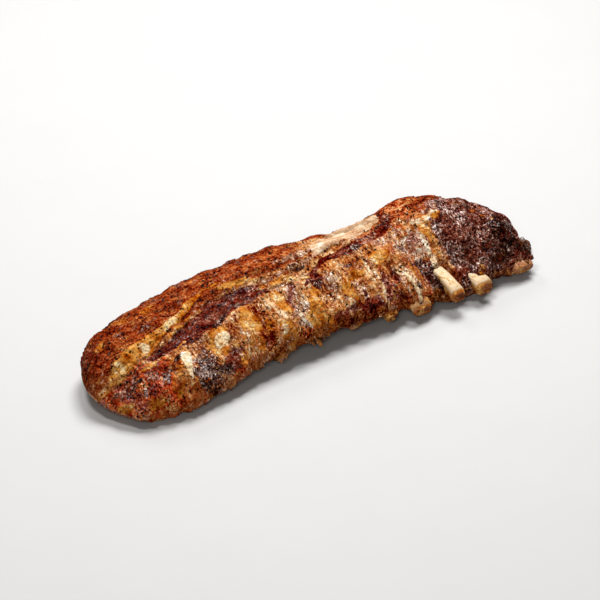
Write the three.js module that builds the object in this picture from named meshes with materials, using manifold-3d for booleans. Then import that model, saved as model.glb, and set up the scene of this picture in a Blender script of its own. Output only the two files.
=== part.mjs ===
// A rack of roasted loin ribs lying meat side up: one slab of meat with twelve rib bones through it.
// Millimetres. X runs along the rack, Y from the sawn rib tips (near edge) to the loin side (far edge),
// +Z up. The underside is arched, so the slab rests on its far band and on both ends of the near edge.
import * as THREE from 'three';
import { mergeVertices } from 'three/addons/utils/BufferGeometryUtils.js';
import Module from 'manifold-3d';

const wasm = await Module();
wasm.setup();

// ---- driving dimensions ----
const leftEnd = -176; // X of the narrow end
const rightEnd = 196; // X of the first rib's end
const middle = { x: 10, y: 11.8 }; // plan centre of the slab, moved to the origin at the end
const lengthSteps = 94; // rows of facets along the slab
const topSteps = 26; // facets across the upper sheet; the lower sheet has half as many
const endCloseness = 0.45; // how much closer the rows stand towards both ends
const sideCloseness = 0.6; // the same for the facets across, towards both edges
const boneSides = 10;
const boneSteps = 9;
const boneGap = 0.35; // clearance between a bone and the meat round it
const boneWaist = 0.1; // a bone is this much slimmer at mid length
const sawnEnd = 0.86; // size of the end faces against the full section
const farTip = 10; // height of every bone's axis at the far edge
const farStub = 0.5; // how far the bones stand out of the far edge
const channelRun = 8; // the channels run on past the bones to the open air

// Stations along X: [x, value]
const nearEdge = [[-176, -33], [-150, -41], [-105, -38], [-60, -30], [0, -28], [60, -31], [110, -36],
  [150, -38], [196, -37]]; // Y of the rib-tip edge
const farEdge = [[-176, 60], [-130, 66], [-60, 67], [0, 62], [60, 58], [110, 61], [150, 60], [196, 47]];
const crestHeight = [[-176, 38], [-140, 41.5], [-100, 44], [-60, 49], [-20, 51], [30, 50], [80, 48],
  [115, 53], [140, 52], [165, 43], [196, 36]]; // top of the loin half
const nearHeight = [[-176, 22], [-140, 29], [-60, 34], [0, 34], [60, 30], [100, 27], [150, 30], [196, 27]];
const lipHeight = [[-176, 10], [-140, 8], [-90, 11], [-40, 17], [10, 18], [60, 15], [100, 11], [150, 10],
  [196, 11]]; // where the upper and the lower sheet meet on the near edge
const archHeight = [[-176, -3], [-140, 2], [-100, 9], [-40, 14], [10, 15], [60, 13], [100, 9], [140, 2],
  [196, -3]]; // underside below the middle of the slab
const nearUnderside = [[-176, -3], [-130, -4], [-90, 2], [-40, 9], [10, 10], [60, 7], [95, 2],
  [125, -4], [196, -3]]; // underside just behind the rib-tip edge
const farRim = 18; // height at which both sheets meet on the far edge
const farUnderside = -3; // below zero, so that the far band is cut flat where it rests

// The fat seam between the loin strip and the rib meat, [x, q]
const seam = [[-176, -0.22], [-145, -0.18], [-108, -0.06], [-83, 0.02], [-40, 0.06], [20, 0.12], [60, 0.25]];
// The loin strip stands above the rib meat; shoulder and far fade are in q, it ends before endX
const loinStrip = { rise: 2.6, shoulder: 0.14, farFade: 0.5, endX: 55, endFade: 50 };
const trough = { depth: 1.8, belowSeam: 0.16, halfWidth: 0.13 }; // lean strip below the seam
const ribSwell = { rise: 2.4, level: 0.45, halfWidth: 9, endQ: 0.05, fade: 0.4 }; // meat over each rib
const crustLumps = [{ height: 1.5, cell: 13, seed: 3 }, { height: 0.75, cell: 6.5, seed: 8 }];
const dome = { x: 152, q: -0.22, halfLength: 41, halfWidth: 0.62, rise: 4.2 }; // thick end lobe
const silverskin = { x: 58, q: 0.47, halfLength: 38, halfWidth: 0.16, depth: 3 }; // bared membrane
const notch = { x: 158, q: 0.62, halfLength: 6, halfWidth: 0.35, depth: 4 }; // cleft behind the lobe
const endPit = { x: 183, q: -0.45, halfLength: 7, halfWidth: 0.16, depth: 5 };
const charCrest = { x: -95, q: -0.86, halfLength: 14, halfWidth: 0.14, rise: 2.5 };
// Beside a bared bone the meat lies low: to each side, the slopes, and its height over the bone's axis
const bared = { halfWidth: 9, sideSlope: 4, endSlope: 5, cover: 0.5 };

// Rib bones from the thick end: x at the sawn tip, lean of the far end along X, width, height,
// how far the tip stands past the near edge, height of the axis at the tip, rise of the arc
const bones = [
  { x: 176, lean: -26, width: 18, height: 7, reach: 3, tip: 10, rise: 9 },
  { x: 133, lean: -10, width: 14, height: 10, reach: 7, tip: 12, rise: 10 },
  { x: 108, lean: -7, width: 11, height: 9, reach: 8, tip: 15, rise: 13, bare: 26 },
  { x: 80, lean: -4, width: 18, height: 7.5, reach: 4, tip: 10, rise: 14 },
  { x: 54, lean: -2, width: 14, height: 8, reach: 3, tip: 12, rise: 13 },
  { x: 26, lean: -1, width: 13, height: 8, reach: -1, tip: 14.5, rise: 11 },
  { x: -2, lean: 0, width: 13, height: 8, reach: -2, tip: 15.5, rise: 11 },
  { x: -30, lean: 1, width: 12, height: 8, reach: -2, tip: 15, rise: 11 },
  { x: -60, lean: 2, width: 12, height: 8, reach: -2, tip: 12.5, rise: 11 },
  { x: -88, lean: 3, width: 11, height: 7.5, reach: -2, tip: 10.5, rise: 11 },
  { x: -116, lean: 4, width: 11, height: 7, reach: -2, tip: 8.5, rise: 10 },
  { x: -145, lean: 6, width: 10, height: 7, reach: -3, tip: 8, rise: 9 },
];

// The outline: how far the ends and the long sides bow in at the corners
const endBow = { nearLeft: 0.17, farLeft: 0.18, nearRight: 0.08, farRight: 0.36 };
const sideBow = { nearLeft: 0.42, farLeft: 0.42, nearRight: 0.24, farRight: 0.56 };
// Clefts between the bone ends: depth at both ends of the rack, where the change starts and its length,
// the fade towards the right end, and the width of a cleft's flank
const cleftForm = { leftDepth: 1.2, rightDepth: 5.5, changeX: 45, change: 25, endFade: 20, flank: 7 };
// The section: powers of its roundness, and the share of it over which the relief fades in
const sideFullness = 4;
const endFullness = 10;
const farFullness = 7;
const reliefFade = 0.6;
const crestAcross = 1.25; // the crest stands this far in q from the near edge
// The underside: the arch from the near edge, the flat far band, and the swell under each rib
const underForm = { arch: 0.8, bandQ: -0.2, bandShoulder: 0.75 };
const underRib = { rise: 1.5, level: 0.7, halfWidth: 8 };

// ---- small helpers ----
const mix = (a, b, t) => a + (b - a) * t;
const smooth = (value) => {
  const t = THREE.MathUtils.clamp(value, 0, 1);
  return t * t * (3 - 2 * t);
};
const swell = (distance) => Math.exp(-distance * distance);
const overCorners = (value, right, far) => (
  mix(mix(value.nearLeft, value.farLeft, far), mix(value.nearRight, value.farRight, far), right)
);

// Cubic Hermite curve through the stations, with the slope of the neighbours at each one
function curve(stations, x) {
  const last = stations.length - 1;
  const slope = (k) => {
    const a = stations[Math.max(k - 1, 0)];
    const b = stations[Math.min(k + 1, last)];
    return (b[1] - a[1]) / (b[0] - a[0]);
  };
  const inside = THREE.MathUtils.clamp(x, stations[0][0], stations[last][0]);
  let k = 0;
  while (k < last - 1 && inside > stations[k + 1][0]) k += 1;
  const span = stations[k + 1][0] - stations[k][0];
  const t = (inside - stations[k][0]) / span;
  const start = stations[k][1] * (1 + 2 * t) * (1 - t) ** 2 + slope(k) * span * t * (1 - t) ** 2;
  return start + stations[k + 1][1] * t * t * (3 - 2 * t) + slope(k + 1) * span * t * t * (t - 1);
}

// Value noise between -1 and 1 on a square lattice of the given cell size; the seed picks the pattern
function lump(x, y, cell, seed) {
  const corner = (i, j) => {
    let h = Math.imul(i, 374761393) + Math.imul(j, 668265263) + Math.imul(seed, 974634777);
    h = Math.imul(h ^ (h >>> 13), 1274126177);
    return ((h ^ (h >>> 16)) >>> 0) / 2147483648 - 1;
  };
  const i = Math.floor(x / cell);
  const j = Math.floor(y / cell);
  const s = smooth(x / cell - i);
  const t = smooth(y / cell - j);
  return mix(mix(corner(i, j), corner(i + 1, j), s), mix(corner(i, j + 1), corner(i + 1, j + 1), s), t);
}

// One inside an oval patch and zero outside, with a rounded shoulder
function patch(form, x, q) {
  const r = Math.hypot((x - form.x) / form.halfLength, (q - form.q) / form.halfWidth);
  return smooth((1.15 - r) / 0.45);
}

// ---- the slab: p runs from -1 to 1 along it, q from -1 at the rib tips to 1 at the far edge ----
function plan(p, q) {
  const right = smooth((p + 1) / 2);
  const far = smooth((q + 1) / 2);
  const endIn = overCorners(endBow, right, far);
  const sideIn = overCorners(sideBow, right, far);
  const x = (leftEnd + rightEnd) / 2 + (rightEnd - leftEnd) / 2 * p * Math.sqrt(1 - endIn * q * q);
  const near = curve(nearEdge, x) + cleft(x) * smooth(-q);
  const back = curve(farEdge, x);
  const y = (near + back) / 2 + (back - near) / 2 * q * Math.sqrt(1 - sideIn * p ** 4);
  return { x, y };
}

// The near edge draws back between two bones, most where the tips stand clear of the meat
function cleft(x) {
  const { leftDepth, rightDepth, changeX, change, endFade, flank } = cleftForm;
  const depth = mix(leftDepth, rightDepth, smooth((x - changeX) / change)) * smooth((rightEnd - x) / endFade);
  const nearest = Math.min(...bones.map((bone) => Math.abs(x - bone.x) - bone.width / 2));
  return depth * smooth(nearest / flank);
}

// Y of the outline at a given X, on the near edge (side -1) or on the far edge (side 1)
function rimY(x, side) {
  let [low, high] = [-1, 1];
  for (let halving = 0; halving < 20; halving += 1) {
    const p = (low + high) / 2;
    if (plan(p, side).x < x) low = p;
    else high = p;
  }
  return plan(low, side).y;
}

function topRelief(x, q) {
  const fromSeam = q - curve(seam, x);
  const loinLength = smooth((loinStrip.endX - x) / loinStrip.endFade);
  const loin = loinStrip.rise * smooth(fromSeam / loinStrip.shoulder) * smooth((1 - q) / loinStrip.farFade);
  const lean = trough.depth * swell((fromSeam + trough.belowSeam) / trough.halfWidth);
  const overRibs = bones.map((bone) => swell((x - bone.x - bone.lean * (q + 1) / 2) / ribSwell.halfWidth));
  const ribZone = smooth((ribSwell.endQ - q) / ribSwell.fade);
  const ribs = ribSwell.rise * (Math.max(...overRibs) - ribSwell.level) * ribZone;
  const lobe = dome.rise * patch(dome, x, q);
  const skin = silverskin.depth * patch(silverskin, x, q);
  const hollows = notch.depth * patch(notch, x, q) + endPit.depth * patch(endPit, x, q);
  const char = charCrest.rise * patch(charCrest, x, q);
  return (loin - lean) * loinLength + ribs + lobe - skin - hollows + char;
}

const edgeHeight = (x, q) => mix(curve(lipHeight, x), farRim, smooth((q + 1) / 2));

function topPoint(p, q) {
  const { x, y } = plan(p, q);
  const rim = edgeHeight(x, q);
  const full = mix(curve(nearHeight, x), curve(crestHeight, x), smooth((q + 1) / crestAcross));
  const roundOff = Math.sqrt(1 - Math.abs(q) ** sideFullness) * Math.sqrt(1 - Math.abs(p) ** endFullness);
  const lumps = crustLumps.map(({ height, cell, seed }) => height * lump(x, y, cell, seed));
  const relief = topRelief(x, q) + lumps[0] + lumps[1];
  let z = rim + (full - rim) * roundOff + relief * smooth(roundOff / reliefFade);
  bones.filter((bone) => bone.bare).forEach((bone) => {
    const along = smooth((boneSpan(bone).tipY + bone.bare - y) / bared.endSlope);
    const beside = smooth((bared.halfWidth - Math.abs(x - bone.x)) / bared.sideSlope);
    z = mix(z, Math.min(z, boneAxis(bone, y).z + bared.cover), along * beside);
  });
  return [x, y, z];
}

function bottomPoint(p, q) {
  const { x, y } = plan(p, q);
  const rim = edgeHeight(x, q);
  const nearPart = mix(curve(nearUnderside, x), curve(archHeight, x), smooth((q + 1) / underForm.arch));
  const overRibs = bones.map((bone) => swell((x - bone.x) / underRib.halfWidth));
  const ribs = underRib.rise * Math.max(...overRibs) - underRib.level;
  const band = smooth((q - underForm.bandQ) / underForm.bandShoulder);
  const full = mix(nearPart - ribs, farUnderside, band);
  const across = Math.sqrt(1 - Math.abs(q) ** (q > 0 ? farFullness : sideFullness));
  const roundOff = across * Math.sqrt(1 - Math.abs(p) ** endFullness);
  return [x, y, Math.max(rim - (rim - full) * roundOff, 0)];
}

// Parameter values from -1 to 1, closer together towards both ends where the sheet turns down
function spread(steps, closeness) {
  return Array.from({ length: steps + 1 }, (_, k) => {
    const t = 2 * k / steps - 1;
    return mix(t, Math.sin(t * Math.PI / 2), closeness);
  });
}

// Triangles between two rows of points, each row running from q = -1 to q = 1. The row that lags
// in q steps on; where they are level, the outer row waits on the near half and leads on the far half,
// so that no triangle lies wholly on the rim that both sheets share.
function zip(a, b, outerIsA) {
  const triangles = [];
  let i = 0;
  let j = 0;
  while (i < a.length - 1 || j < b.length - 1) {
    const nextA = i < a.length - 1 ? a[i + 1].q : Infinity;
    const nextB = j < b.length - 1 ? b[j + 1].q : Infinity;
    const tieGoesToA = outerIsA === (nextA > 0);
    const stepA = nextA === nextB ? tieGoesToA : nextA < nextB;
    triangles.push([a[i].at, b[j].at, stepA ? a[i + 1].at : b[j + 1].at]);
    if (stepA) i += 1;
    else j += 1;
  }
  return triangles;
}

// A sheet of triangles over the rows; the two end rows carry every q, the rows between only some
function sheet(pValues, endQs, innerQs, point) {
  const rows = pValues.map((p) => {
    const qs = Math.abs(p) === 1 ? endQs : innerQs;
    return qs.map((q) => ({ q, at: point(p, q) }));
  });
  return pValues.slice(1).flatMap((p, k) => zip(rows[k], rows[k + 1], p < 0));
}

function closedGeometry(triangles) {
  const geometry = new THREE.BufferGeometry();
  geometry.setAttribute('position', new THREE.Float32BufferAttribute(triangles.flat(2), 3));
  return mergeVertices(geometry, 1e-4);
}

function slabGeometry() {
  const along = spread(lengthSteps, endCloseness);
  const across = spread(topSteps, sideCloseness);
  const sparse = across.filter((_, k) => k % 2 === 0);
  const upper = sheet(along, across, across, topPoint);
  const lower = sheet(along, across, sparse, bottomPoint);
  return closedGeometry([...upper, ...lower.map((corners) => corners.toReversed())]);
}

// ---- the bones ----
function boneSpan(bone) {
  return { tipY: rimY(bone.x, -1) - bone.reach, farY: rimY(bone.x + bone.lean, 1) + farStub };
}

// Axis of a bone at a given Y: an arc over the hollow underside, level beyond both ends
function boneAxis(bone, y) {
  const { tipY, farY } = boneSpan(bone);
  const t = THREE.MathUtils.clamp((y - tipY) / (farY - tipY), 0, 1);
  return { x: bone.x + bone.lean * t, z: mix(bone.tip, farTip, t) + 4 * bone.rise * t * (1 - t) };
}

// Oval sections carried along the axis and closed by flat ends. A channel has the same sections,
// wider by the clearance, and runs on past both ends.
function boneGeometry(bone, clearance, runOn) {
  const { tipY, farY } = boneSpan(bone);
  const stations = Array.from({ length: boneSteps + 1 }, (_, k) => {
    const t = (1 - Math.cos(k / boneSteps * Math.PI)) / 2;
    const atEnd = k === 0 || k === boneSteps;
    return { y: mix(tipY, farY, t), size: atEnd && !runOn ? sawnEnd : 1 - boneWaist * Math.sin(t * Math.PI) };
  });
  if (runOn) {
    stations.unshift({ y: tipY - runOn, size: 1 });
    stations.push({ y: farY + runOn, size: 1 });
  }
  const rings = stations.map(({ y, size }) => {
    const axis = boneAxis(bone, y);
    return Array.from({ length: boneSides }, (_, side) => {
      const angle = (side + 0.5) / boneSides * 2 * Math.PI;
      const x = axis.x + (bone.width / 2 * size + clearance) * Math.cos(angle);
      return [x, y, axis.z + (bone.height / 2 * size + clearance) * Math.sin(angle)];
    });
  });
  const walls = rings.slice(1).flatMap((ring, k) => ring.flatMap((point, side) => {
    const next = (side + 1) % boneSides;
    const [a, b, c, d] = [rings[k][side], point, ring[next], rings[k][next]];
    return [[a, b, c], [a, c, d]];
  }));
  const cap = (ring) => ring.slice(2).map((point, k) => [ring[0], ring[k + 1], point]);
  const farCap = cap(rings.at(-1)).map((corners) => corners.toReversed());
  return closedGeometry([...walls, ...cap(rings[0]), ...farCap]);
}

// ---- joining and cutting ----
function toSolid(geometry) {
  return new wasm.Manifold(new wasm.Mesh({
    numProp: 3,
    vertProperties: geometry.attributes.position.array,
    triVerts: new Uint32Array(geometry.index.array),
  }));
}

function fromSolid(solid) {
  const { vertProperties, triVerts } = solid.getMesh();
  const geometry = new THREE.BufferGeometry();
  geometry.setAttribute('position', new THREE.BufferAttribute(vertProperties, 3));
  geometry.setIndex(new THREE.BufferAttribute(triVerts, 1));
  return geometry;
}

// The slab with a channel for every bone, open at both edges of the rack
function meatGeometry() {
  const solid = bones.reduce((slab, bone) => {
    const channel = boneGeometry(bone, boneGap, channelRun);
    return slab.subtract(toSolid(channel));
  }, toSolid(slabGeometry()));
  return fromSolid(solid);
}

const rack = new THREE.Group();
rack.name = 'rack';
rack.position.set(-middle.x, -middle.y, 0);

const meat = new THREE.Mesh(
  meatGeometry(),
  new THREE.MeshStandardMaterial({ color: 0x9a4a22, roughness: 0.38, metalness: 0 }),
);
meat.name = 'meat';
rack.add(meat);

bones.forEach((bone, k) => {
  const rib = new THREE.Mesh(
    boneGeometry(bone, 0, 0),
    new THREE.MeshStandardMaterial({ color: 0xe2c088, roughness: 0.45, metalness: 0 }),
  );
  rib.name = `rib_bone_${String(k + 1).padStart(2, '0')}`;
  rack.add(rib);
});

const part = new THREE.Group();
part.add(rack);

export default part;
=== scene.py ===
import math
import bpy
import numpy as np
from mathutils import Matrix, Vector


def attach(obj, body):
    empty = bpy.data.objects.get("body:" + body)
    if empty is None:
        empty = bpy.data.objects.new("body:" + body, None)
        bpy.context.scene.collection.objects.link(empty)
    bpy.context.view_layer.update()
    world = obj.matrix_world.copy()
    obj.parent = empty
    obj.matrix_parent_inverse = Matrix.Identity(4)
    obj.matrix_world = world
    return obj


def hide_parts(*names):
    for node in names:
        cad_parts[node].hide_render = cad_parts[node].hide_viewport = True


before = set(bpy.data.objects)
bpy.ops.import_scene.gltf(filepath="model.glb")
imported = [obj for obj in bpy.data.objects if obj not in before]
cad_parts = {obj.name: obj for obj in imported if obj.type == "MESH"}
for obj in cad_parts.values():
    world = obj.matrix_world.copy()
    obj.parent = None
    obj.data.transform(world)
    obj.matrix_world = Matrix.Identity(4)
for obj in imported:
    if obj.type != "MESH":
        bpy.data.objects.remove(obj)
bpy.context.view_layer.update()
print("rack: frame loaded,", len(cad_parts), "solids")

# Shapes are worked out in millimetres: X along the rack, Y from the rib tips to the loin side, Z up.
# p runs along the slab and q across it, both from -1 to 1; v is q in millimetres.
slab = {
    "leftEnd": -176, "rightEnd": 196,
    "middleX": 10, "middleY": 11.8,      # what becomes the frame's origin
    # along x: Y of the two edges, then Z of the crest, near side, lip, arch and near underside
    "nearEdge": [(-176, -33), (-150, -41), (-105, -38), (-60, -30), (0, -28), (60, -31), (110, -36),
                 (150, -38), (196, -37)],
    "farEdge": [(-176, 60), (-130, 66), (-60, 67), (0, 62), (60, 58), (110, 61), (150, 60), (196, 47)],
    "crestHeight": [(-176, 38), (-140, 41.5), (-100, 44), (-60, 49), (-20, 51), (30, 50), (80, 48),
                    (115, 53), (140, 52), (165, 43), (196, 36)],
    "nearHeight": [(-176, 22), (-140, 29), (-60, 34), (0, 34), (60, 30), (100, 27), (150, 30),
                   (196, 27)],
    "lipHeight": [(-176, 10), (-140, 8), (-90, 11), (-40, 17), (10, 18), (60, 15), (100, 11), (150, 10),
                  (196, 11)],
    "archHeight": [(-176, -3), (-140, 2), (-100, 9), (-40, 14), (10, 15), (60, 13), (100, 9), (140, 2),
                   (196, -3)],
    "nearUnderside": [(-176, -3), (-130, -4), (-90, 2), (-40, 9), (10, 10), (60, 7), (95, 2),
                      (125, -4), (196, -3)],
    "farRim": 18, "farUnderside": -3,
    "seam": [(-176, -0.22), (-145, -0.18), (-108, -0.06), (-83, 0.02), (-40, 0.06), (20, 0.12),
             (60, 0.25)],     # the line of fat, as q along x
    "loinRise": 2.6, "loinTo": 55, "loinStep": 0.14,        # height, x of its end, width of its step in q
    "troughDepth": 1.8, "troughAt": -0.16, "troughWidth": 0.13,     # place and width in q, from the seam
    "ribRise": 2.4, "ribWidth": 9, "lumpHeight": 1.5, "lumpSize": 13,
    "underRib": 1.5, "underRibWidth": 8, "underRibBase": 0.7,
    "sidePower": 4, "endPower": 10, "farUnderPower": 7,     # the higher, the later a surface rounds off
    # roundness of the outline at the left near, left far, right near and right far corner
    "endRound": (0.17, 0.18, 0.08, 0.36),
    "sideRound": (0.42, 0.42, 0.24, 0.56),
    "cleftDepth": (1.2, 5.5),      # how far the near edge draws back between bones, left and right
    "halfWidth": 50,      # millimetres that q = 1 stands for
    "stepsAlong": 408, "stepsAcross": 160,
}
# raised and sunken patches: middle in x and q, half sizes, and how high or deep each is
dome = {"x": 152, "q": -0.22, "halfLength": 41, "halfWidth": 0.62, "rise": 4.2,
        # x of its left border along v
        "border": [(-50, 117), (-39, 115), (-26, 110), (-17, 112), (-1, 117), (8, 124), (14, 131)]}
silverskin = {"x": 58, "q": 0.47, "halfLength": 38, "halfWidth": 0.16, "depth": 3,
              # v of its lower and its upper border along x
              "lower": [(18, 12), (26, 7), (38, 9), (50, 13), (62, 18), (77, 21), (88, 24), (98, 29)],
              "upper": [(18, 13), (30, 24), (45, 31), (62, 35), (80, 34), (98, 30)]}
notch = {"x": 158, "q": 0.62, "halfLength": 6, "halfWidth": 0.35, "depth": 4}
endPit = {"x": 183, "q": -0.45, "halfLength": 7, "halfWidth": 0.16, "depth": 5}
charCrest = {"x": -95, "q": -0.86, "halfLength": 14, "halfWidth": 0.14, "rise": 2.5}

# Rib bones from the thick end: place of the sawn tip, how far the far end leans along X, size,
# reach past the edge, height of the tip and of the arc, and how browned, hollow or blushed the tip is
bones = [
    {"x": 176, "lean": -26, "width": 18, "height": 7, "reach": 3, "tip": 10, "rise": 9,
     "brownedAndShaded": 0.4, "marrow": 0, "blush": 1},
    {"x": 133, "lean": -10, "width": 14, "height": 10, "reach": 7, "tip": 12, "rise": 10,
     "brownedAndShaded": 0.15, "marrow": 0.3},
    {"x": 108, "lean": -7, "width": 11, "height": 9, "reach": 8, "tip": 15, "rise": 13,
     "brownedAndShaded": 0, "marrow": 0.8, "bare": 26},
    {"x": 80, "lean": -4, "width": 18, "height": 7.5, "reach": 4, "tip": 10, "rise": 14, "brownedAndShaded": 0.6},
    {"x": 54, "lean": -2, "width": 14, "height": 8, "reach": 3, "tip": 12, "rise": 13},
    {"x": 26, "lean": -1, "width": 13, "height": 8, "reach": -1, "tip": 14.5, "rise": 11},
    {"x": -2, "lean": 0, "width": 13, "height": 8, "reach": -2, "tip": 15.5, "rise": 11},
    {"x": -30, "lean": 1, "width": 12, "height": 8, "reach": -2, "tip": 15, "rise": 11},
    {"x": -60, "lean": 2, "width": 12, "height": 8, "reach": -2, "tip": 12.5, "rise": 11},
    {"x": -88, "lean": 3, "width": 11, "height": 7.5, "reach": -2, "tip": 10.5, "rise": 11},
    {"x": -116, "lean": 4, "width": 11, "height": 7, "reach": -2, "tip": 8.5, "rise": 10},
    {"x": -145, "lean": 6, "width": 10, "height": 7, "reach": -3, "tip": 8, "rise": 9},
]
boneForm = {"farTip": 10, "farStub": 0.5, "waist": 0.1, "bareHalfWidth": 9, "sawnEnd": 0.86}


# numbers and noise on whole arrays
def mix(a, b, t):
    # a where t is 0, b where t is 1, and evenly in between
    return a + (b - a) * t


def smooth(t):
    # three t squared less two t cubed, level at both ends, with t held between 0 and 1
    t = np.clip(t, 0, 1)
    return t * t * (3 - 2 * t)


def swell(d):
    # a bell: e to the power of minus d squared
    return np.exp(-d * d)


def curve(stations, x):
    # cubic Hermite through the stations, each slope taken from the two neighbours
    sx = np.array([s[0] for s in stations], float)
    sy = np.array([s[1] for s in stations], float)
    last = len(sx) - 1
    low, high = np.maximum(np.arange(last + 1) - 1, 0), np.minimum(np.arange(last + 1) + 1, last)
    slope = (sy[high] - sy[low]) / (sx[high] - sx[low])
    held = np.clip(x, sx[0], sx[-1])
    k = np.clip(np.searchsorted(sx, held, side="left") - 1, 0, last - 1)
    span = sx[k + 1] - sx[k]
    t = (held - sx[k]) / span
    start = sy[k] * (1 + 2 * t) * (1 - t) ** 2 + slope[k] * span * t * (1 - t) ** 2
    return start + sy[k + 1] * t * t * (3 - 2 * t) + slope[k + 1] * span * t * t * (t - 1)


def corner(i, j, k, seed):
    # a fixed value between -1 and 1 for every lattice point, from its whole numbers times large odd ones
    h = (i.astype(np.uint32) * np.uint32(374761393) + j.astype(np.uint32) * np.uint32(668265263)
         + k.astype(np.uint32) * np.uint32(1103515245) + np.uint32(seed * 974634777 % 2 ** 32))
    h = (h ^ (h >> np.uint32(13))) * np.uint32(1274126177)
    return (h ^ (h >> np.uint32(16))) / 2147483648.0 - 1


def noise(x, y, z, seed):
    # value noise: the eight corner values of a lattice cell, blended smoothly
    x, y, z = np.broadcast_arrays(np.asarray(x, float), y, z)
    i, j, k = (np.floor(c).astype(np.int64) for c in (x, y, z))
    s, t, u = smooth(x - i), smooth(y - j), smooth(z - k)
    layers = []
    for dk in (0, 1):
        rows = [mix(corner(i, j + dj, k + dk, seed), corner(i + 1, j + dj, k + dk, seed), s)
                for dj in (0, 1)]
        layers.append(mix(rows[0], rows[1], t))
    return mix(layers[0], layers[1], u)


def fractal(x, y, z, seed, octaves=3, gain=0.55):
    # the weighed mean of noises, each half the size of the one before and gain times its weight
    total, weight = 0, 0
    for octave in range(octaves):
        finer, share = 2 ** octave, gain ** octave
        total = total + noise(x * finer, y * finer, z * finer, seed + octave) * share
        weight += share
    return total / weight


def crease(x, y, z, seed, octaves=2, sharpness=3.2):
    # 1 along wandering lines where the noise passes zero, falling to 0 away from them
    return 1 - np.minimum(np.abs(fractal(x, y, z, seed, octaves)) * sharpness, 1)


def pebbles(x, y, z, seed, jitter=0.42):
    # distance to the nearest of one scattered point per lattice cell, and that point's own value
    i, j, k = (np.floor(c).astype(np.int64) for c in (x, y, z))
    best = np.full(x.shape, np.inf)
    own = np.zeros(x.shape)
    for di in (-1, 0, 1):
        for dj in (-1, 0, 1):
            for dk in (-1, 0, 1):
                ci, cj, ck = i + di, j + dj, k + dk
                px, py, pz = (c + 0.5 + jitter * corner(ci, cj, ck, seed + n)
                              for n, c in enumerate((ci, cj, ck)))
                d = np.sqrt((px - x) ** 2 + (py - y) ** 2 + (pz - z) ** 2)
                nearer = d < best
                best = np.where(nearer, d, best)
                own = np.where(nearer, corner(ci, cj, ck, seed + 7), own)
    return best, own


def unit(vectors):
    # vectors divided by their length
    return vectors / np.maximum(np.linalg.norm(vectors, axis=-1, keepdims=True), 1e-9)


def overBones(x, along, spread):
    # a bell over the middle line of every bone; along is 0 at the sawn tip and 1 at the far end
    return np.max([swell((x - b["x"] - b["lean"] * along) / spread) for b in bones], axis=0)


def besideBones(x, some=bones):
    # millimetres from x to the side of the nearest bone's tip, negative over the tip
    return np.min([np.abs(x - b["x"]) - b["width"] / 2 for b in some], axis=0)


def patch(form, x, q):
    # one inside an oval patch and zero outside, with a rounded shoulder
    r = np.hypot((x - form["x"]) / form["halfLength"], (q - form["q"]) / form["halfWidth"])
    return smooth((1.15 - r) / 0.45)


# the slab's form
def cleft(x):
    # the near edge draws back between two bones
    depth = mix(*slab["cleftDepth"], smooth((x - 45) / 25)) * smooth((slab["rightEnd"] - x) / 20)
    return depth * smooth(besideBones(x) / 7)


def plan(p, q):
    # a rectangle between the two edge curves with rounded corners: x is scaled by the root of
    # 1 less endRound times q squared, and y by the root of 1 less sideRound times p to the fourth
    right, far = smooth((p + 1) / 2), smooth((q + 1) / 2)
    endRound, sideRound = (mix(mix(c[0], c[1], far), mix(c[2], c[3], far), right)
                           for c in (slab["endRound"], slab["sideRound"]))
    half = (slab["rightEnd"] - slab["leftEnd"]) / 2
    x = (slab["leftEnd"] + slab["rightEnd"]) / 2 + half * p * np.sqrt(1 - endRound * q * q)
    near = curve(slab["nearEdge"], x) + cleft(x) * smooth(-q)
    back = curve(slab["farEdge"], x)
    y = (near + back) / 2 + (back - near) / 2 * q * np.sqrt(1 - sideRound * p ** 4)
    return x, y


def rimY(x, side):
    # Y of the outline at X, found by halving p's range until it is known to a millionth
    low, high = -1.0, 1.0
    while high - low > 2e-6:
        p = (low + high) / 2
        if plan(np.array(p), np.array(float(side)))[0] < x:
            low = p
        else:
            high = p
    return float(plan(np.array(low), np.array(float(side)))[1])


for bone in bones:
    bone["tipY"] = rimY(bone["x"], -1) - bone["reach"]
    bone["farY"] = rimY(bone["x"] + bone["lean"], 1) + boneForm["farStub"]


def boneAxis(bone, y):
    # a parabola from tip to far end, rise above the straight line in its middle, level beyond both ends
    t = np.clip((y - bone["tipY"]) / (bone["farY"] - bone["tipY"]), 0, 1)
    straight = mix(bone["tip"], boneForm["farTip"], t)
    return bone["x"] + bone["lean"] * t, straight + 4 * bone["rise"] * t * (1 - t)


def topRelief(x, q):
    # the loin's step up at the seam, the trough below it, bells over the ribs, raised and sunken patches
    loinLength = smooth((slab["loinTo"] - x) / 50)
    fromSeam = q - curve(slab["seam"], x)
    loin = slab["loinRise"] * smooth(fromSeam / slab["loinStep"]) * smooth((1 - q) / 0.5) * loinLength
    fromTrough = (fromSeam - slab["troughAt"]) / slab["troughWidth"]
    trough = slab["troughDepth"] * swell(fromTrough) * loinLength
    overRib = overBones(x, (q + 1) / 2, slab["ribWidth"])
    ribs = slab["ribRise"] * (overRib - 0.45) * smooth((0.05 - q) / 0.4)
    raised = dome["rise"] * patch(dome, x, q) + charCrest["rise"] * patch(charCrest, x, q)
    sunk = sum(f["depth"] * patch(f, x, q) for f in (silverskin, notch, endPit))
    return loin - trough + ribs + raised - sunk


def rimHeight(x, q):
    # Z of the outline, from the lip over the rib tips to the far rim
    return mix(curve(slab["lipHeight"], x), slab["farRim"], smooth((q + 1) / 2))


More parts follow.
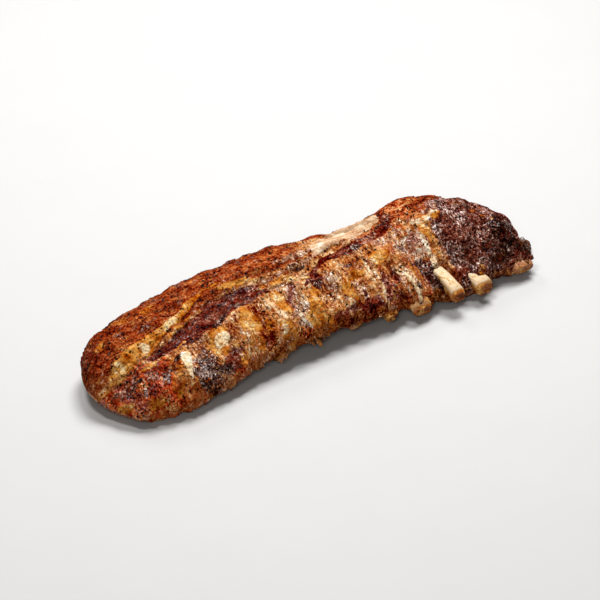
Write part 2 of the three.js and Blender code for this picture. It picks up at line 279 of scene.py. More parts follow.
def topSurface(p, q):
    # the rim's height, plus the rise to the crest rounded off towards the outline, plus the relief
    x, y = plan(p, q)
    rim = rimHeight(x, q)
    full = mix(curve(slab["nearHeight"], x), curve(slab["crestHeight"], x), smooth((q + 1) / 1.25))
    roundOff = np.sqrt(1 - np.abs(q) ** slab["sidePower"]) * np.sqrt(1 - np.abs(p) ** slab["endPower"])
    lumpSize = slab["lumpSize"]
    lumps = noise(x / lumpSize, y / lumpSize, 0, 3) + 0.5 * noise(2 * x / lumpSize, 2 * y / lumpSize, 0, 8)
    relief = topRelief(x, q) + slab["lumpHeight"] * lumps
    z = rim + (full - rim) * roundOff + relief * smooth(roundOff / 0.6)
    for bone in bones:
        if "bare" in bone:
            # the meat stops short of the bared bone
            along = smooth((bone["tipY"] + bone["bare"] - y) / 5)
            beside = smooth((boneForm["bareHalfWidth"] - np.abs(x - bone["x"])) / 4)
            z = mix(z, np.minimum(z, boneAxis(bone, y)[1] + 0.5), along * beside)
    return x, y, z


def bottomSurface(p, q):
    # the hollow of the arch less a low ridge along each bone, down to the flat band at the far side
    x, y = plan(p, q)
    rim = rimHeight(x, q)
    nearPart = mix(curve(slab["nearUnderside"], x), curve(slab["archHeight"], x), smooth((q + 1) / 0.8))
    ribs = slab["underRib"] * overBones(x, 0, slab["underRibWidth"]) - slab["underRibBase"]
    full = mix(nearPart - ribs, slab["farUnderside"], smooth((q + 0.2) / 0.75))
    across = np.sqrt(1 - np.abs(q) ** np.where(q > 0, slab["farUnderPower"], slab["sidePower"]))
    roundOff = across * np.sqrt(1 - np.abs(p) ** slab["endPower"])
    return x, y, np.maximum(rim - (rim - full) * roundOff, 0)


def evenSteps(surface, steps, alongP):
    # parameter values that stand the same distance apart, measured along three lines on the surface
    fine = np.linspace(-1, 1, 4001)
    lengths = 0
    for other in (-0.5, 0.0, 0.5):
        fixed = np.full_like(fine, other)
        xyz = np.array(surface(fine, fixed) if alongP else surface(fixed, fine))
        lengths = lengths + np.concatenate([[0], np.cumsum(np.linalg.norm(np.diff(xyz), axis=0))])
    values = np.interp(np.linspace(0, lengths[-1], steps + 1), lengths, fine)
    values[0], values[-1] = -1, 1
    return values


def gridNormals(x, y, z):
    # unit normals of a grid of points, from the differences along both directions
    a = np.stack([np.gradient(c, axis=0) for c in (x, y, z)], -1)
    b = np.stack([np.gradient(c, axis=1) for c in (x, y, z)], -1)
    return unit(np.cross(a, b))


# where fat, lean meat and char lie on the upper surface; v is millimetres across from the middle line
crustMarks = {
    # strokes by kind: strength, then x, v and half width of every point along the line
    "strokes": {
        "gold": [
            (0.95, [(-176, -17, 0.8), (-166, -13, 2.4), (-158, -10, 5), (-149, -8, 7), (-138, -5, 6),
                    (-120, -1, 3.6), (-100, 3, 2.3), (-90, 6, 2.4), (-82, 9, 2.6), (-72, 13, 1.6),
                    (-55, 12, 0.4)]),
            (1.0, [(-118, -8, 0.6), (-105, -4, 1.5), (-90, 1, 0.4)]),
            (1.0, [(-150, -22, 0.6), (-137, -18, 1.8), (-126, -15, 0.4)]),
            (1.0, [(-118, -17, 0.6), (-110, -15.5, 1.3), (-104, -14.5, 0.4)]),
            (1.0, [(-62, 9, 1), (-45, 4, 3), (-30, 2, 1)]),
            (1.0, [(-30, -3, 1), (-11, -7, 3.6), (8, -10, 1)]),
            (0.9, [(124, -3, 3.4), (113, 0, 5), (112, -10, 3), (114, -18, 1.6), (112, -26, 0.6)]),
            (0.8, [(-4, -30, 1.5), (-3, -38, 4), (-2, -46, 4)]),
        ],
        "peach": [
            (1.0, [(-10, 9, 1), (7, 10, 3), (24, 13, 2)]),
            (1.0, [(-14, 0, 1), (7, 3, 2.4), (26, 7, 1.5)]),
            (0.62, [(99, -6, 7), (100, -14, 6), (98, -22, 4), (89, -25, 2.5)]),
            (0.75, [(111, 1, 5), (108, -10, 3.6), (106, -23, 3), (105, -33, 3)]),
            (0.8, [(72, -25, 1), (72, -38, 2), (73, -48, 1.5)]),
        ],
        "pale": [
            (1.0, [(-113, -27.5, 4.4), (-114.5, -33, 2.8), (-117, -42, 0.6)]),
            (1.0, [(-84, -29, 4), (-80, -28, 4.8), (-77, -27.5, 4)]),
            (0.55, [(107, 3, 3), (118, 0, 2.4), (129, -2, 0.6)]),
            (0.6, [(108, -9, 1.6), (106, -23, 2.2), (105, -32, 2.8), (109, -38, 3)]),
            (0.9, [(78, -30, 1.4), (79, -38, 2.4), (80, -45, 1.8), (81, -51, 2.4)]),
            (0.45, [(-26, -13, 1), (-25, -20, 2), (-27, -27, 0.8)]),
            (0.55, [(-14, -33, 0.8), (-16, -40, 1.8), (-12, -47, 1)]),
            (0.45, [(16, -22, 0.8), (16, -30, 1.4), (19, -37, 0.8)]),
        ],
        "lean": [
            (1.0, [(-136, -12, 2), (-124, -12, 3.6), (-106, -14, 5), (-92, -13, 5.5), (-77, -13, 5),
                   (-59, -10, 4.5), (-40, -10, 3.5), (-26, -11, 1)]),
            (1.0, [(-78, 1, 1.5), (-59, -2, 4), (-43, -5, 4), (-28, -3, 1)]),
            (0.9, [(-108, -8, 1.5), (-95, -5, 3), (-80, -4, 4), (-64, -3, 3)]),
            (0.95, [(-2, -18, 1), (9, -10, 2), (16, -5, 2.4), (26, -1, 2.6), (36, 0, 2.8), (46, 2, 3.4),
                    (61, 6, 4.4), (73, 9, 4.8), (86, 12, 5.2), (94, 18, 4.8), (95, 25, 3)]),
            (0.8, [(64, -23, 1.6), (61, -34, 3.8), (58, -45, 3)]),
            (0.95, [(10, -49, 2), (20, -48, 4), (32, -46, 5), (44, -46, 5), (51, -49, 3)]),
            (1.0, [(92, -26, 3), (98, -32, 6), (100, -42, 7)]),
        ],
        "soot": [
            (1.0, [(164, -30, 4), (168, -22, 5), (174, -21, 6), (177, -30, 7), (180, -40, 4)]),
        ],
        "char": [
            (0.85, [(93, -26, 2.4), (98, -33, 5.4), (98, -42, 6), (97, -49, 4.6)]),
        ],
        "wet": [
            (1.0, [(131, 1, 2), (139, -3, 5), (146, -11, 4), (151, -18, 2)]),
            (1.0, [(113, -19, 3), (119, -29, 6), (123, -38, 4)]),
            (1.0, [(166, -20, 2), (174, -21, 3), (186, -13, 2)]),
            (1.0, [(79, -24, 4), (79, -38, 4), (81, -50, 3)]),
            (1.0, [(63, -28, 4), (60, -40, 5), (58, -47, 4)]),
        ],
    },
    # ovals by kind: x, v, half length, half width, turn in degrees, strength; wet is standing juice
    "ovals": {
        "gold": [
            (-122, -29, 6, 5, 90, 0.7), (-127, -41, 8, 5, 60, 0.6), (-166, -38, 6, 4, -30, 0.9),
            (-146, -45, 7, 4, 0, 0.8), (-113, -47, 7, 3, 0, 0.6), (-98, -27, 5, 4, 0, 0.8),
            (-83, -28, 12, 9, 60, 1.0), (-69, -36, 6, 4, 0, 0.7), (-55, -27, 11, 7.5, 100, 1.0),
            (-57, -42, 7, 5, 0, 0.8), (-25, -23, 11, 6, 95, 1.0), (-31, -44, 8, 6, 80, 0.9),
            (-41, -36, 5, 6, 0, 0.6), (0, -37, 9, 4, 80, 0.8), (3, -48, 5, 4, 0, 0.8),
            (30, -28, 10, 5, 80, 1.0), (41, -21, 7, 4, 10, 0.8), (67, -12, 9, 5, 10, 0.8),
            (3, -24, 6, 4, 20, 0.7), (-8, -47, 4, 5, 0, 0.6), (48, -12, 5, 4, 0, 0.7),
            (75, -20, 7, 4, 0, 0.6), (112, -6, 6, 3, 70, 0.8), (112, -20, 9, 2.5, 90, 0.7),
            (33, -40, 5, 5, 0, 0.6), (-72, -46, 5, 4, 0, 0.5), (136, -47, 5, 4, 0, 0.6),
            (86, -28, 5, 2, 80, 0.6), (52, -34, 5, 3, 80, 0.5), (150, -42, 6, 3, 0, 0.55),
            (158, -4, 4, 2.4, 30, 0.6), (149, 4, 4, 2, 0, 0.55), (159, -42, 5, 2.6, 20, 0.66),
            (163, -11, 3, 2, 0, 0.75), (169, -15, 2, 1.4, 0, 0.7), (-158, -12, 7, 4, 20, 0.9),
            (-6, -43, 7, 6, 0, 0.85), (-131, 30, 7, 5, 0, 0.52), (-112, 22, 6, 4, 0, 0.5),
            (-157, 19, 6, 5, 0, 0.52)],
        "pale": [
            (-134, -4, 4.5, 3.4, 20, 1.0), (-33, -43, 4, 3, 0, 0.6), (46, -5, 5, 2, -30, 0.5),
            (34, -12, 5, 1.4, 95, 0.5)],
        "peach": [
            (92, -12, 12, 9, 20, 0.5), (85, 0, 14, 5, 0, 0.55), (70, 8, 12, 5, 0, 0.4),
            (-14, -27, 16, 4, 92, 0.55), (-12, -39, 9, 8, 0, 0.8), (-50, -31, 7, 4, 0, 0.4),
            (80, -38, 8, 6, 90, 0.4), (38, -36, 11, 4, 80, 0.5), (-66, -33, 8, 5, 0, 0.3),
            (60, -43, 5, 5, 0, 0.5), (-110, -34, 5, 6, 0, 0.4), (-5, -2, 10, 3, 0, 0.4),
            (18, -22, 10, 4, 92, 0.5), (-33, -43, 6, 5, 0, 0.5)],
        "lean": [
            (71, -30, 6, 2.5, 90, 0.8), (11, -16, 8, 5, 60, 0.85), (98, -10, 9, 5, 60, 0.55),
            (68, -46, 5, 3, 0, 0.7), (120, -42, 8, 5, 0, 0.7), (15, -48, 9, 3.5, 0, 0.85),
            (-13, -18, 8, 2.5, 60, 0.8), (48, -44, 5, 5, 0, 0.6), (-160, -24, 11, 8, 20, 0.5),
            (-146, -33, 7, 4, 20, 0.35), (-139, -25, 9, 6, 20, 0.62), (-165, 4, 12, 8, 0, 0.4),
            (-166, 22, 10, 16, 0, 0.5), (-80, -43, 10, 6, 10, 0.75), (-15, -48, 4, 4, 0, 0.45),
            (-48, -47, 4, 5, 0, 0.6), (28, -47, 4, 5, 0, 0.6)],
        "char": [
            (-101, -35, 9, 6.5, 60, 0.75), (-98, -47, 15, 4.5, 0, 1.0), (-111, -42, 4, 5, 0, 1.0),
            (-120, -25, 3, 1.8, 10, 1.0), (-54, -12, 7, 1.8, 0, 0.7), (-75, -15, 7, 1.8, 10, 0.9),
            (4, -1, 6, 1.3, 10, 0.7), (12, -18, 5, 3, 70, 0.85), (39, -13, 3.5, 2.2, 0, 0.9),
            (56, 3, 7, 3, 10, 0.85), (46, -1, 4, 3, 0, 0.75), (86, -11, 5, 2.4, 0, 0.8),
            (83, -41, 3, 2.2, 0, 0.8), (165, -33, 12, 8, 20, 1.0), (152, -38, 7, 6, 0, 0.75),
            (165, -41, 9, 4, 0, 0.85), (178, -14, 8, 12, 0, 0.7), (90, 17, 6, 3, 0, 0.7),
            (138, -30, 9, 6, 40, 0.5), (152, 2, 8, 5, 0, 0.45), (-132, -33, 8, 4, 60, 0.62),
            (55, -25, 3, 2, 0, 0.6), (-158, 10, 5, 3, 0, 0.45), (116, -4, 3.5, 2, 0, 0.6),
            (-144, 16, 6, 3, 0, 0.45), (-125, 7, 5, 2.4, 0, 0.45), (-90, 14, 7, 2.4, 5, 0.45),
            (-148, -37, 6, 4, 0, 0.45)],
        "soot": [(171, -31, 8, 7, 0, 1.0), (157, -41, 14, 6, 0, 0.62)],
        "wet": [
            (-12, -26, 17, 5, 92, 1.0), (19, -23, 12, 4, 92, 0.9), (38, -36, 13, 5, 80, 1.0),
            (-73, -36, 9, 6, 90, 1.0), (-102, -36, 11, 8, 60, 0.75), (-48, -4, 12, 3, 5, 0.8),
            (-145, -36, 16, 9, 0, 0.5), (100, -12, 12, 8, 0, 0.6), (52, 0, 8, 5, 0, 1.0),
            (-5, -8, 12, 3, 5, 0.7)],
    },
}


def inside(distance):
    # one well inside the border, which lies at distance one, and zero a little beyond it
    return smooth((1.3 - distance) / 0.55)


def strokeMask(x, v, stroke):
    # a soft band about the line through the stroke's points, as wide as the half widths given there
    best = np.zeros_like(x)
    for (x0, v0, w0), (x1, v1, w1) in zip(stroke[:-1], stroke[1:]):
        dx, dv = x1 - x0, v1 - v0
        t = np.clip(((x - x0) * dx + (v - v0) * dv) / (dx * dx + dv * dv), 0, 1)
        best = np.maximum(best, inside(np.hypot(x - x0 - t * dx, v - v0 - t * dv) / mix(w0, w1, t)))
    return best


def ovalMask(x, v, forms):
    # the strongest of some turned ovals
    best = np.zeros_like(x)
    for cx, cv, a, b, turn, strength in forms:
        c, s = math.cos(math.radians(turn)), math.sin(math.radians(turn))
        dx, dv = x - cx, v - cv
        best = np.maximum(best, strength * inside(np.hypot((dx * c + dv * s) / a, (dv * c - dx * s) / b)))
    return best


def skinMask(x, v):
    # the pale membrane's long lens: above its lower border, below its upper one
    low = curve(silverskin["lower"], x) + 1.6 * noise(x / 5, 3, 0, 5)
    high = curve(silverskin["upper"], x) + 2.5 * noise(x / 7, 9, 0, 6)
    ends = smooth((x - 20) / 6) * smooth((96 - x) / 8)
    return ends * smooth((v - low) / 1.4 + 0.5) * smooth((high - v) / 3 + 0.5), low


# where one kind of surface gives way to another, in millimetres, and how strong each is there
paint = {
    "bendAlong": (12, 3.5), "bendAcross": (9, 2.6),     # size of the noise that bends patches, and how far
    "leftBrown": -118, "rightBrown": (52, 118), "rightBrownness": 0.4, "rimBrownness": 0.75,
    "darkDome": {"halfLength": 42, "halfWidth": 0.78}, "darkLeft": 115, "darkEnd": 166,
    "thickLoin": (28, 8), "thickLoinEnd": 158,          # v where the loin starts left and right of x = 80
    # how strong the painted shade on the near rim is, what it gains in the middle and to the right, and
    # what it loses beside the end lobe
    "shadedLip": 0.5, "shadedLipMiddle": 0.18, "shadedLipRight": 0.22, "shadedLipLobe": -0.5,
    "puddleSize": 8, "puddles": 0.85,                   # clusters of standing juice
}


def paintTop(x, v, y, z):
    # masks between 0 and 1; places are bent by slow noise so that no oval stays round
    (alongSize, alongBend), (acrossSize, acrossBend) = paint["bendAlong"], paint["bendAcross"]
    bx = x + alongBend * fractal(x / alongSize, y / alongSize, z / alongSize, 21, 3)
    bv = v + acrossBend * fractal(x / acrossSize, y / acrossSize, z / acrossSize, 31, 3)
    q = v / slab["halfWidth"]
    masks = {kind: ovalMask(bx, bv, forms) for kind, forms in crustMarks["ovals"].items()}
    for kind, strokes in crustMarks["strokes"].items():
        bend = 0.4 if kind == "pale" else 1     # thin pale lines stay nearly straight
        for strength, stroke in strokes:
            line = strokeMask(mix(x, bx, bend), mix(v, bv, bend), stroke)
            masks[kind] = np.maximum(masks[kind], strength * line)
    masks["skin"] = skinMask(x, v)[0]
    # the loin lies beyond the seam, beyond a step at the thick end, and all along the far side
    beyondSeam = smooth((q - curve(slab["seam"], x)) / 0.1 + 0.5) * smooth((30 - x) / 30)
    stepAt = mix(*paint["thickLoin"], smooth((x - 60) / 40))
    beyondStep = smooth((bv - stepAt) / 5) * smooth((paint["thickLoinEnd"] - x) / 16)
    masks["loin"] = np.max([beyondSeam, beyondStep, smooth((q - 0.55) / 0.12)], axis=0)
    brownFrom, brownTo = paint["rightBrown"]
    leftBrown = smooth((paint["leftBrown"] - bx) / 14) * smooth((-12 - bv) / 6)
    rightBrown = paint["rightBrownness"] * smooth((bx - brownFrom) / 16) * smooth((brownTo - bx) / 8)
    masks["brown"] = np.max([leftBrown, rightBrown, paint["rimBrownness"] * smooth((-44 - bv) / 4)], axis=0)
    # the dark crust covers the dome, the end and what lies between the dome and the rib tips
    onDome = patch({**dome, **paint["darkDome"]}, bx, bv / slab["halfWidth"])
    nearDome = smooth((bx - paint["darkLeft"]) / 5) * smooth(-bv / 12)
    masks["dark"] = np.max([onDome, smooth((x - paint["darkEnd"]) / 10), nearDome], axis=0)
    # painted light and shade: the ribs' tone is lightened over each bone and darkened in the valleys
    # between them
    onRibs = smooth((-0.1 - q) / 0.3) * smooth((105 - x) / 15) * smooth((x + 110) / 20)
    masks["ridgeShading"] = mix(0.55, overBones(bx, (q + 1) / 2, 8.5), onRibs)
    # painted shade over the rim above the rib tips, stronger towards the thick end and weaker beside the
    # end lobe
    shadedLip = (paint["shadedLip"] + paint["shadedLipMiddle"] * smooth((x + 100) / 20)
           + paint["shadedLipRight"] * smooth((x - 60) / 40) + paint["shadedLipLobe"] * smooth((x - 112) / 10))
    masks["shadedLip"] = smooth((-0.9 - q) / 0.1) * shadedLip
    # juice stands in clusters, hardly any of it on the loin
    size = paint["puddleSize"]
    onLoin = masks["loin"] * (1 - masks["dark"])
    clusters = smooth(0.35 + 1.6 * fractal(x / size, y / size, z / size, 35, 3))
    clusters = paint["puddles"] * clusters * (1 - 0.85 * onLoin) * (1 - 0.4 * masks["skin"])
    wet = np.maximum(clusters, masks["wet"]) * (1 - 0.5 * masks["lean"]) * (1 - 0.3 * masks["gold"])
    masks["wet"] = wet - 0.25 * onLoin - 0.4 * masks["soot"]
    return masks


# how far each kind of relief stands out of the crust, or sinks into it, in millimetres
reliefDepth = {
    "fibre": 0.3, "crack": -0.5,            # along the loin
    "streak": 0.6, "tear": -1.2,            # across the ribs
    "lump": 1.6, "darkLump": 0.4, "darkPebble": 0.15, "charPebble": 0.25,
    "softCrown": 0.3, "softWave": 0.5, "goldCrown": 0.4, "lean": -0.8,
    "loinShoulder": 2.8, "domeBorder": 1.8, "rolledLip": 3.2, "lensBorder": -1.5,
}


def crustRelief(x, v, y, z, m):
    # millimetres out of the surface: fibres along the loin, torn streaks across the ribs, grainy crust
    depth = reliefDepth
    fibre = fractal(x / 16, v / 2.6, 0, 41, 2)
    crack = smooth((crease(x / 26, v / 4, 0, 51) - 0.7) / 0.3)
    streak = fractal((x + 0.25 * v) / 3.6, v / 10, 0, 61, 2)
    tear = smooth((crease(x / 6, v / 18, 0, 65) - 0.7) / 0.3)
    grain, own = pebbles(x / 2.2, y / 2.2, z / 2.2, 71)
    pebble = smooth(1 - grain * 1.5) * own
    lump = fractal(x / 10, y / 10, z / 10, 75, 3)
    soft = np.maximum(m["skin"], m["pale"])
    rough = (1 - 0.5 * m["gold"]) * (1 - 0.9 * soft)
    alongLoin = m["loin"] * (depth["fibre"] * fibre + depth["crack"] * crack)
    acrossRibs = ((1 - m["loin"]) * (1 - 0.6 * m["dark"]) * (1 - 0.6 * m["peach"])
                  * (depth["streak"] * streak + depth["tear"] * tear))
    height = (alongLoin + acrossRibs) * rough + depth["lump"] * lump * (1 - 0.7 * m["skin"])
    height = height + m["dark"] * (depth["darkPebble"] * pebble + depth["darkLump"] * lump)
    height = height + depth["charPebble"] * m["char"] * pebble + depth["lean"] * m["lean"] * (1 - soft)
    wave = fractal(x / 5, y / 5, z / 5, 79, 2)
    height = height + soft * (depth["softCrown"] + depth["softWave"] * wave)
    height = height + depth["goldCrown"] * m["gold"] * (0.8 + fractal(x / 4, y / 4, z / 4, 81, 2))
    # the loin's shoulder beside the dome
    height = height + depth["loinShoulder"] * swell((x - 114) / 14) * swell((v - 26) / 11)
    # the dome's left border stands over the meat beside it
    border = curve(dome["border"], v)
    step = (smooth((x - border) / 2.5) - 1) * swell((x - border + 3) / 8) * (np.abs(v + 20) < 40)
    height = height + depth["domeBorder"] * step
    # the meat rolls down between the bare bones
    betweenBones = smooth(besideBones(x, bones[:4]) / 2.5) * smooth((x - 88) / 8) * smooth((170 - x) / 10)
    height = height + depth["rolledLip"] * betweenBones * swell((v + 43) / 6)
    # a furrow along the lower border of the membrane
    low = skinMask(x, v)[1]
    inLens = smooth((x - 24) / 6) * smooth((94 - x) / 6)
    return height + depth["lensBorder"] * inLens * swell((v - low + 2.0) / 1.6)


# the meat's outline draws back round the bone ends and is ragged along the rib tips
edgeForm = {"nearDraw": 1.2, "farDraw": 1.6, "ragged": 1.4, "raggedFine": 0.9}


def edgeShift(x, q):
    # millimetres that the outline moves towards +Y: back from covered rib tips, in from the far stubs
    near, far = smooth((-0.78 - q) / 0.22), smooth((q - 0.7) / 0.3)
    nearDraw, farDraw = 0, 0
    for bone in bones:
        half = bone["width"] / 2
        if bone["reach"] < 0:
            nearDraw = np.maximum(nearDraw, smooth((half + 1.6 - np.abs(x - bone["x"])) / 2.4))
        farDraw = np.maximum(farDraw, smooth((half + 1 - np.abs(x - bone["x"] - bone["lean"])) / 2.5))
    ragged = edgeForm["ragged"] * noise(x / 4.5, 0, 0, 101)
    ragged = ragged + edgeForm["raggedFine"] * noise(x / 1.9, 0, 0, 103)
    return near * (edgeForm["nearDraw"] * nearDraw + ragged) - far * edgeForm["farDraw"] * farDraw


# from arrays to meshes
def addMesh(name, points, faces, attributes, material, shadeSmooth=True):
    # points in millimetres; faces is a list of index arrays, all rows of one array of the same length
    mesh = bpy.data.meshes.new(name)
    placed = (np.asarray(points, float) - [slab["middleX"], slab["middleY"], 0]) * 0.001
    counts = np.concatenate([np.full(len(f), f.shape[1]) for f in faces])
    loops = np.concatenate([f.ravel() for f in faces])
    mesh.vertices.add(len(placed))
    mesh.vertices.foreach_set("co", placed.ravel())
    mesh.loops.add(len(loops))
    mesh.loops.foreach_set("vertex_index", loops.astype(np.int32))
    mesh.polygons.add(len(counts))
    starts = np.concatenate([[0], np.cumsum(counts)[:-1]])
    mesh.polygons.foreach_set("loop_start", starts.astype(np.int32))
    mesh.polygons.foreach_set("loop_total", counts.astype(np.int32))
    mesh.polygons.foreach_set("use_smooth", np.full(len(counts), shadeSmooth))
    for key, values in attributes.items():
        layer = mesh.attributes.new(key, "FLOAT", "POINT")
        layer.data.foreach_set("value", np.asarray(values, np.float32))
    mesh.update()
    mesh.validate()
    piece = bpy.data.objects.new(name, mesh)
    bpy.context.scene.collection.objects.link(piece)
    mesh.materials.append(material)
    return piece


def finishPiece(piece, slotName, *nodes):
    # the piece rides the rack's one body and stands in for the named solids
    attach(piece, "root")
    if nodes:
        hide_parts(*nodes)
    print("rack:", piece.name, "ready,", len(piece.data.polygons), "faces")
    return piece


def buildMeat(material):
    # an upper and a lower sheet over the same outline; the lower one has every second column
    ps = evenSteps(topSurface, slab["stepsAlong"], True)
    qs = evenSteps(topSurface, slab["stepsAcross"], False)
    p, q = np.meshgrid(ps, qs, indexing="ij")
    x, y, z = topSurface(p, q)
    normals = gridNormals(x, y, z)
    v = q * slab["halfWidth"]
    masks = paintTop(x, v, y, z)
    # on the rim both sheets move straight outwards in plan
    outward = unit(np.stack([p ** 9, q ** 9, 0 * p], -1))
    onRim = (np.abs(p) == 1) | (np.abs(q) == 1)
    normals[onRim] = outward[onRim]
    height = crustRelief(x, v, y, z, masks)
    top = np.stack([x, y, z], -1) + normals * height[..., None]
    top[..., 1] += edgeShift(x, q)

    half = q[:, ::2]
    bx, by, bz = bottomSurface(p[:, ::2], half)
    under = gridNormals(bx, by, bz) * -1
    fade = smooth(bz / 4) * smooth((1 - np.abs(half)) / 0.08) * smooth((1 - np.abs(p[:, ::2])) / 0.02)
    rough = 0.9 * fractal(bx / 6, by / 2.5, bz / 4, 91, 3) + 0.7 * fractal(bx / 2, by / 6, bz / 3, 95, 2)
    bottom = np.stack([bx, by, bz], -1) + under * (rough * fade)[..., None]
    bottom[..., 1] += edgeShift(bx, half)

    # every second point of the outline is shared with the lower sheet
    rows, columns = x.shape
    topIndex = np.arange(rows * columns).reshape(rows, columns)
    inner = np.arange((rows - 2) * (half.shape[1] - 2)).reshape(rows - 2, -1) + rows * columns
    bottomIndex = topIndex[:, ::2].copy()
    bottomIndex[1:-1, 1:-1] = inner
    points = np.concatenate([top.reshape(-1, 3), bottom[1:-1, 1:-1].reshape(-1, 3)])

    quads = np.stack([topIndex[:-1, :-1], topIndex[1:, :-1], topIndex[1:, 1:], topIndex[:-1, 1:]], -1)
    cornerRows, cornerColumns = [0, 0, -1, -1], [0, -1, 0, -1]
    cornerQuads = quads[cornerRows, cornerColumns]
    plain = np.ones(quads.shape[:2], bool)
    plain[cornerRows, cornerColumns] = False
    # each corner quad is cut from the slab's corner inwards
    turned = np.array([np.roll(f, -k) for f, k in zip(cornerQuads, (0, 3, 1, 2))])
    cornerTriangles = np.concatenate([turned[:, [0, 1, 2]], turned[:, [0, 2, 3]]])
    low = np.stack([bottomIndex[1:-2, :-1], bottomIndex[1:-2, 1:], bottomIndex[2:-1, 1:],
                    bottomIndex[2:-1, :-1]], -1).reshape(-1, 4)
    stitches = []
    for end, nextRow, flip in ((0, 1, False), (-1, -2, True)):
        rim, row = topIndex[end], bottomIndex[nextRow]
        fans = np.concatenate([np.stack([rim[:-2:2], rim[1:-1:2], row[:-1]], -1),
                               np.stack([rim[1:-1:2], row[1:], row[:-1]], -1),
                               np.stack([rim[1:-1:2], rim[2::2], row[1:]], -1)])
        stitches.append(fans[:, ::-1] if flip else fans)
    # the lower sheet's walls carry on the rim's marks, the painted shade of the near rim among them; what
    # faces down is paler, with a line at each bone
    down = smooth((-under[..., 2] - 0.62) / 0.3)
    below = {key: np.where(half > 0, value[:, -1:], value[:, :1]) * (1 - down)
             for key, value in masks.items()}
    below["under"], below["boneLine"] = down, overBones(bx, (half + 1) / 2, 6) * down
    masks = {**masks, "under": 0 * x, "boneLine": 0 * x}
    attributes = {key: np.concatenate([value.ravel(), below[key][1:-1, 1:-1].ravel()])
                  for key, value in masks.items()}
    faces = [quads[plain], cornerTriangles, low] + stitches
    piece = addMesh("rackMeat", points, faces, attributes, material)
    crustNormals = gridNormals(*np.moveaxis(top, -1, 0))
    return piece, {"top": top, "normals": crustNormals, "masks": masks, "x": x, "v": v}


# rib bones: an oval carried along each bone's arc, sawn square with a hollow of marrow in each end
boneLook = {"around": 40, "along": 110, "endRings": 5, "grain": 0.25, "groove": 0.07, "flatFlanks": 0.14,
            "flare": 0.09, "marrowAt": 0.8, "marrowDepth": 0.4, "tornTaper": 0.22, "shreds": 1.4,
            "noseLength": 7, "noseDrop": 0.3, "chipped": 1.6}


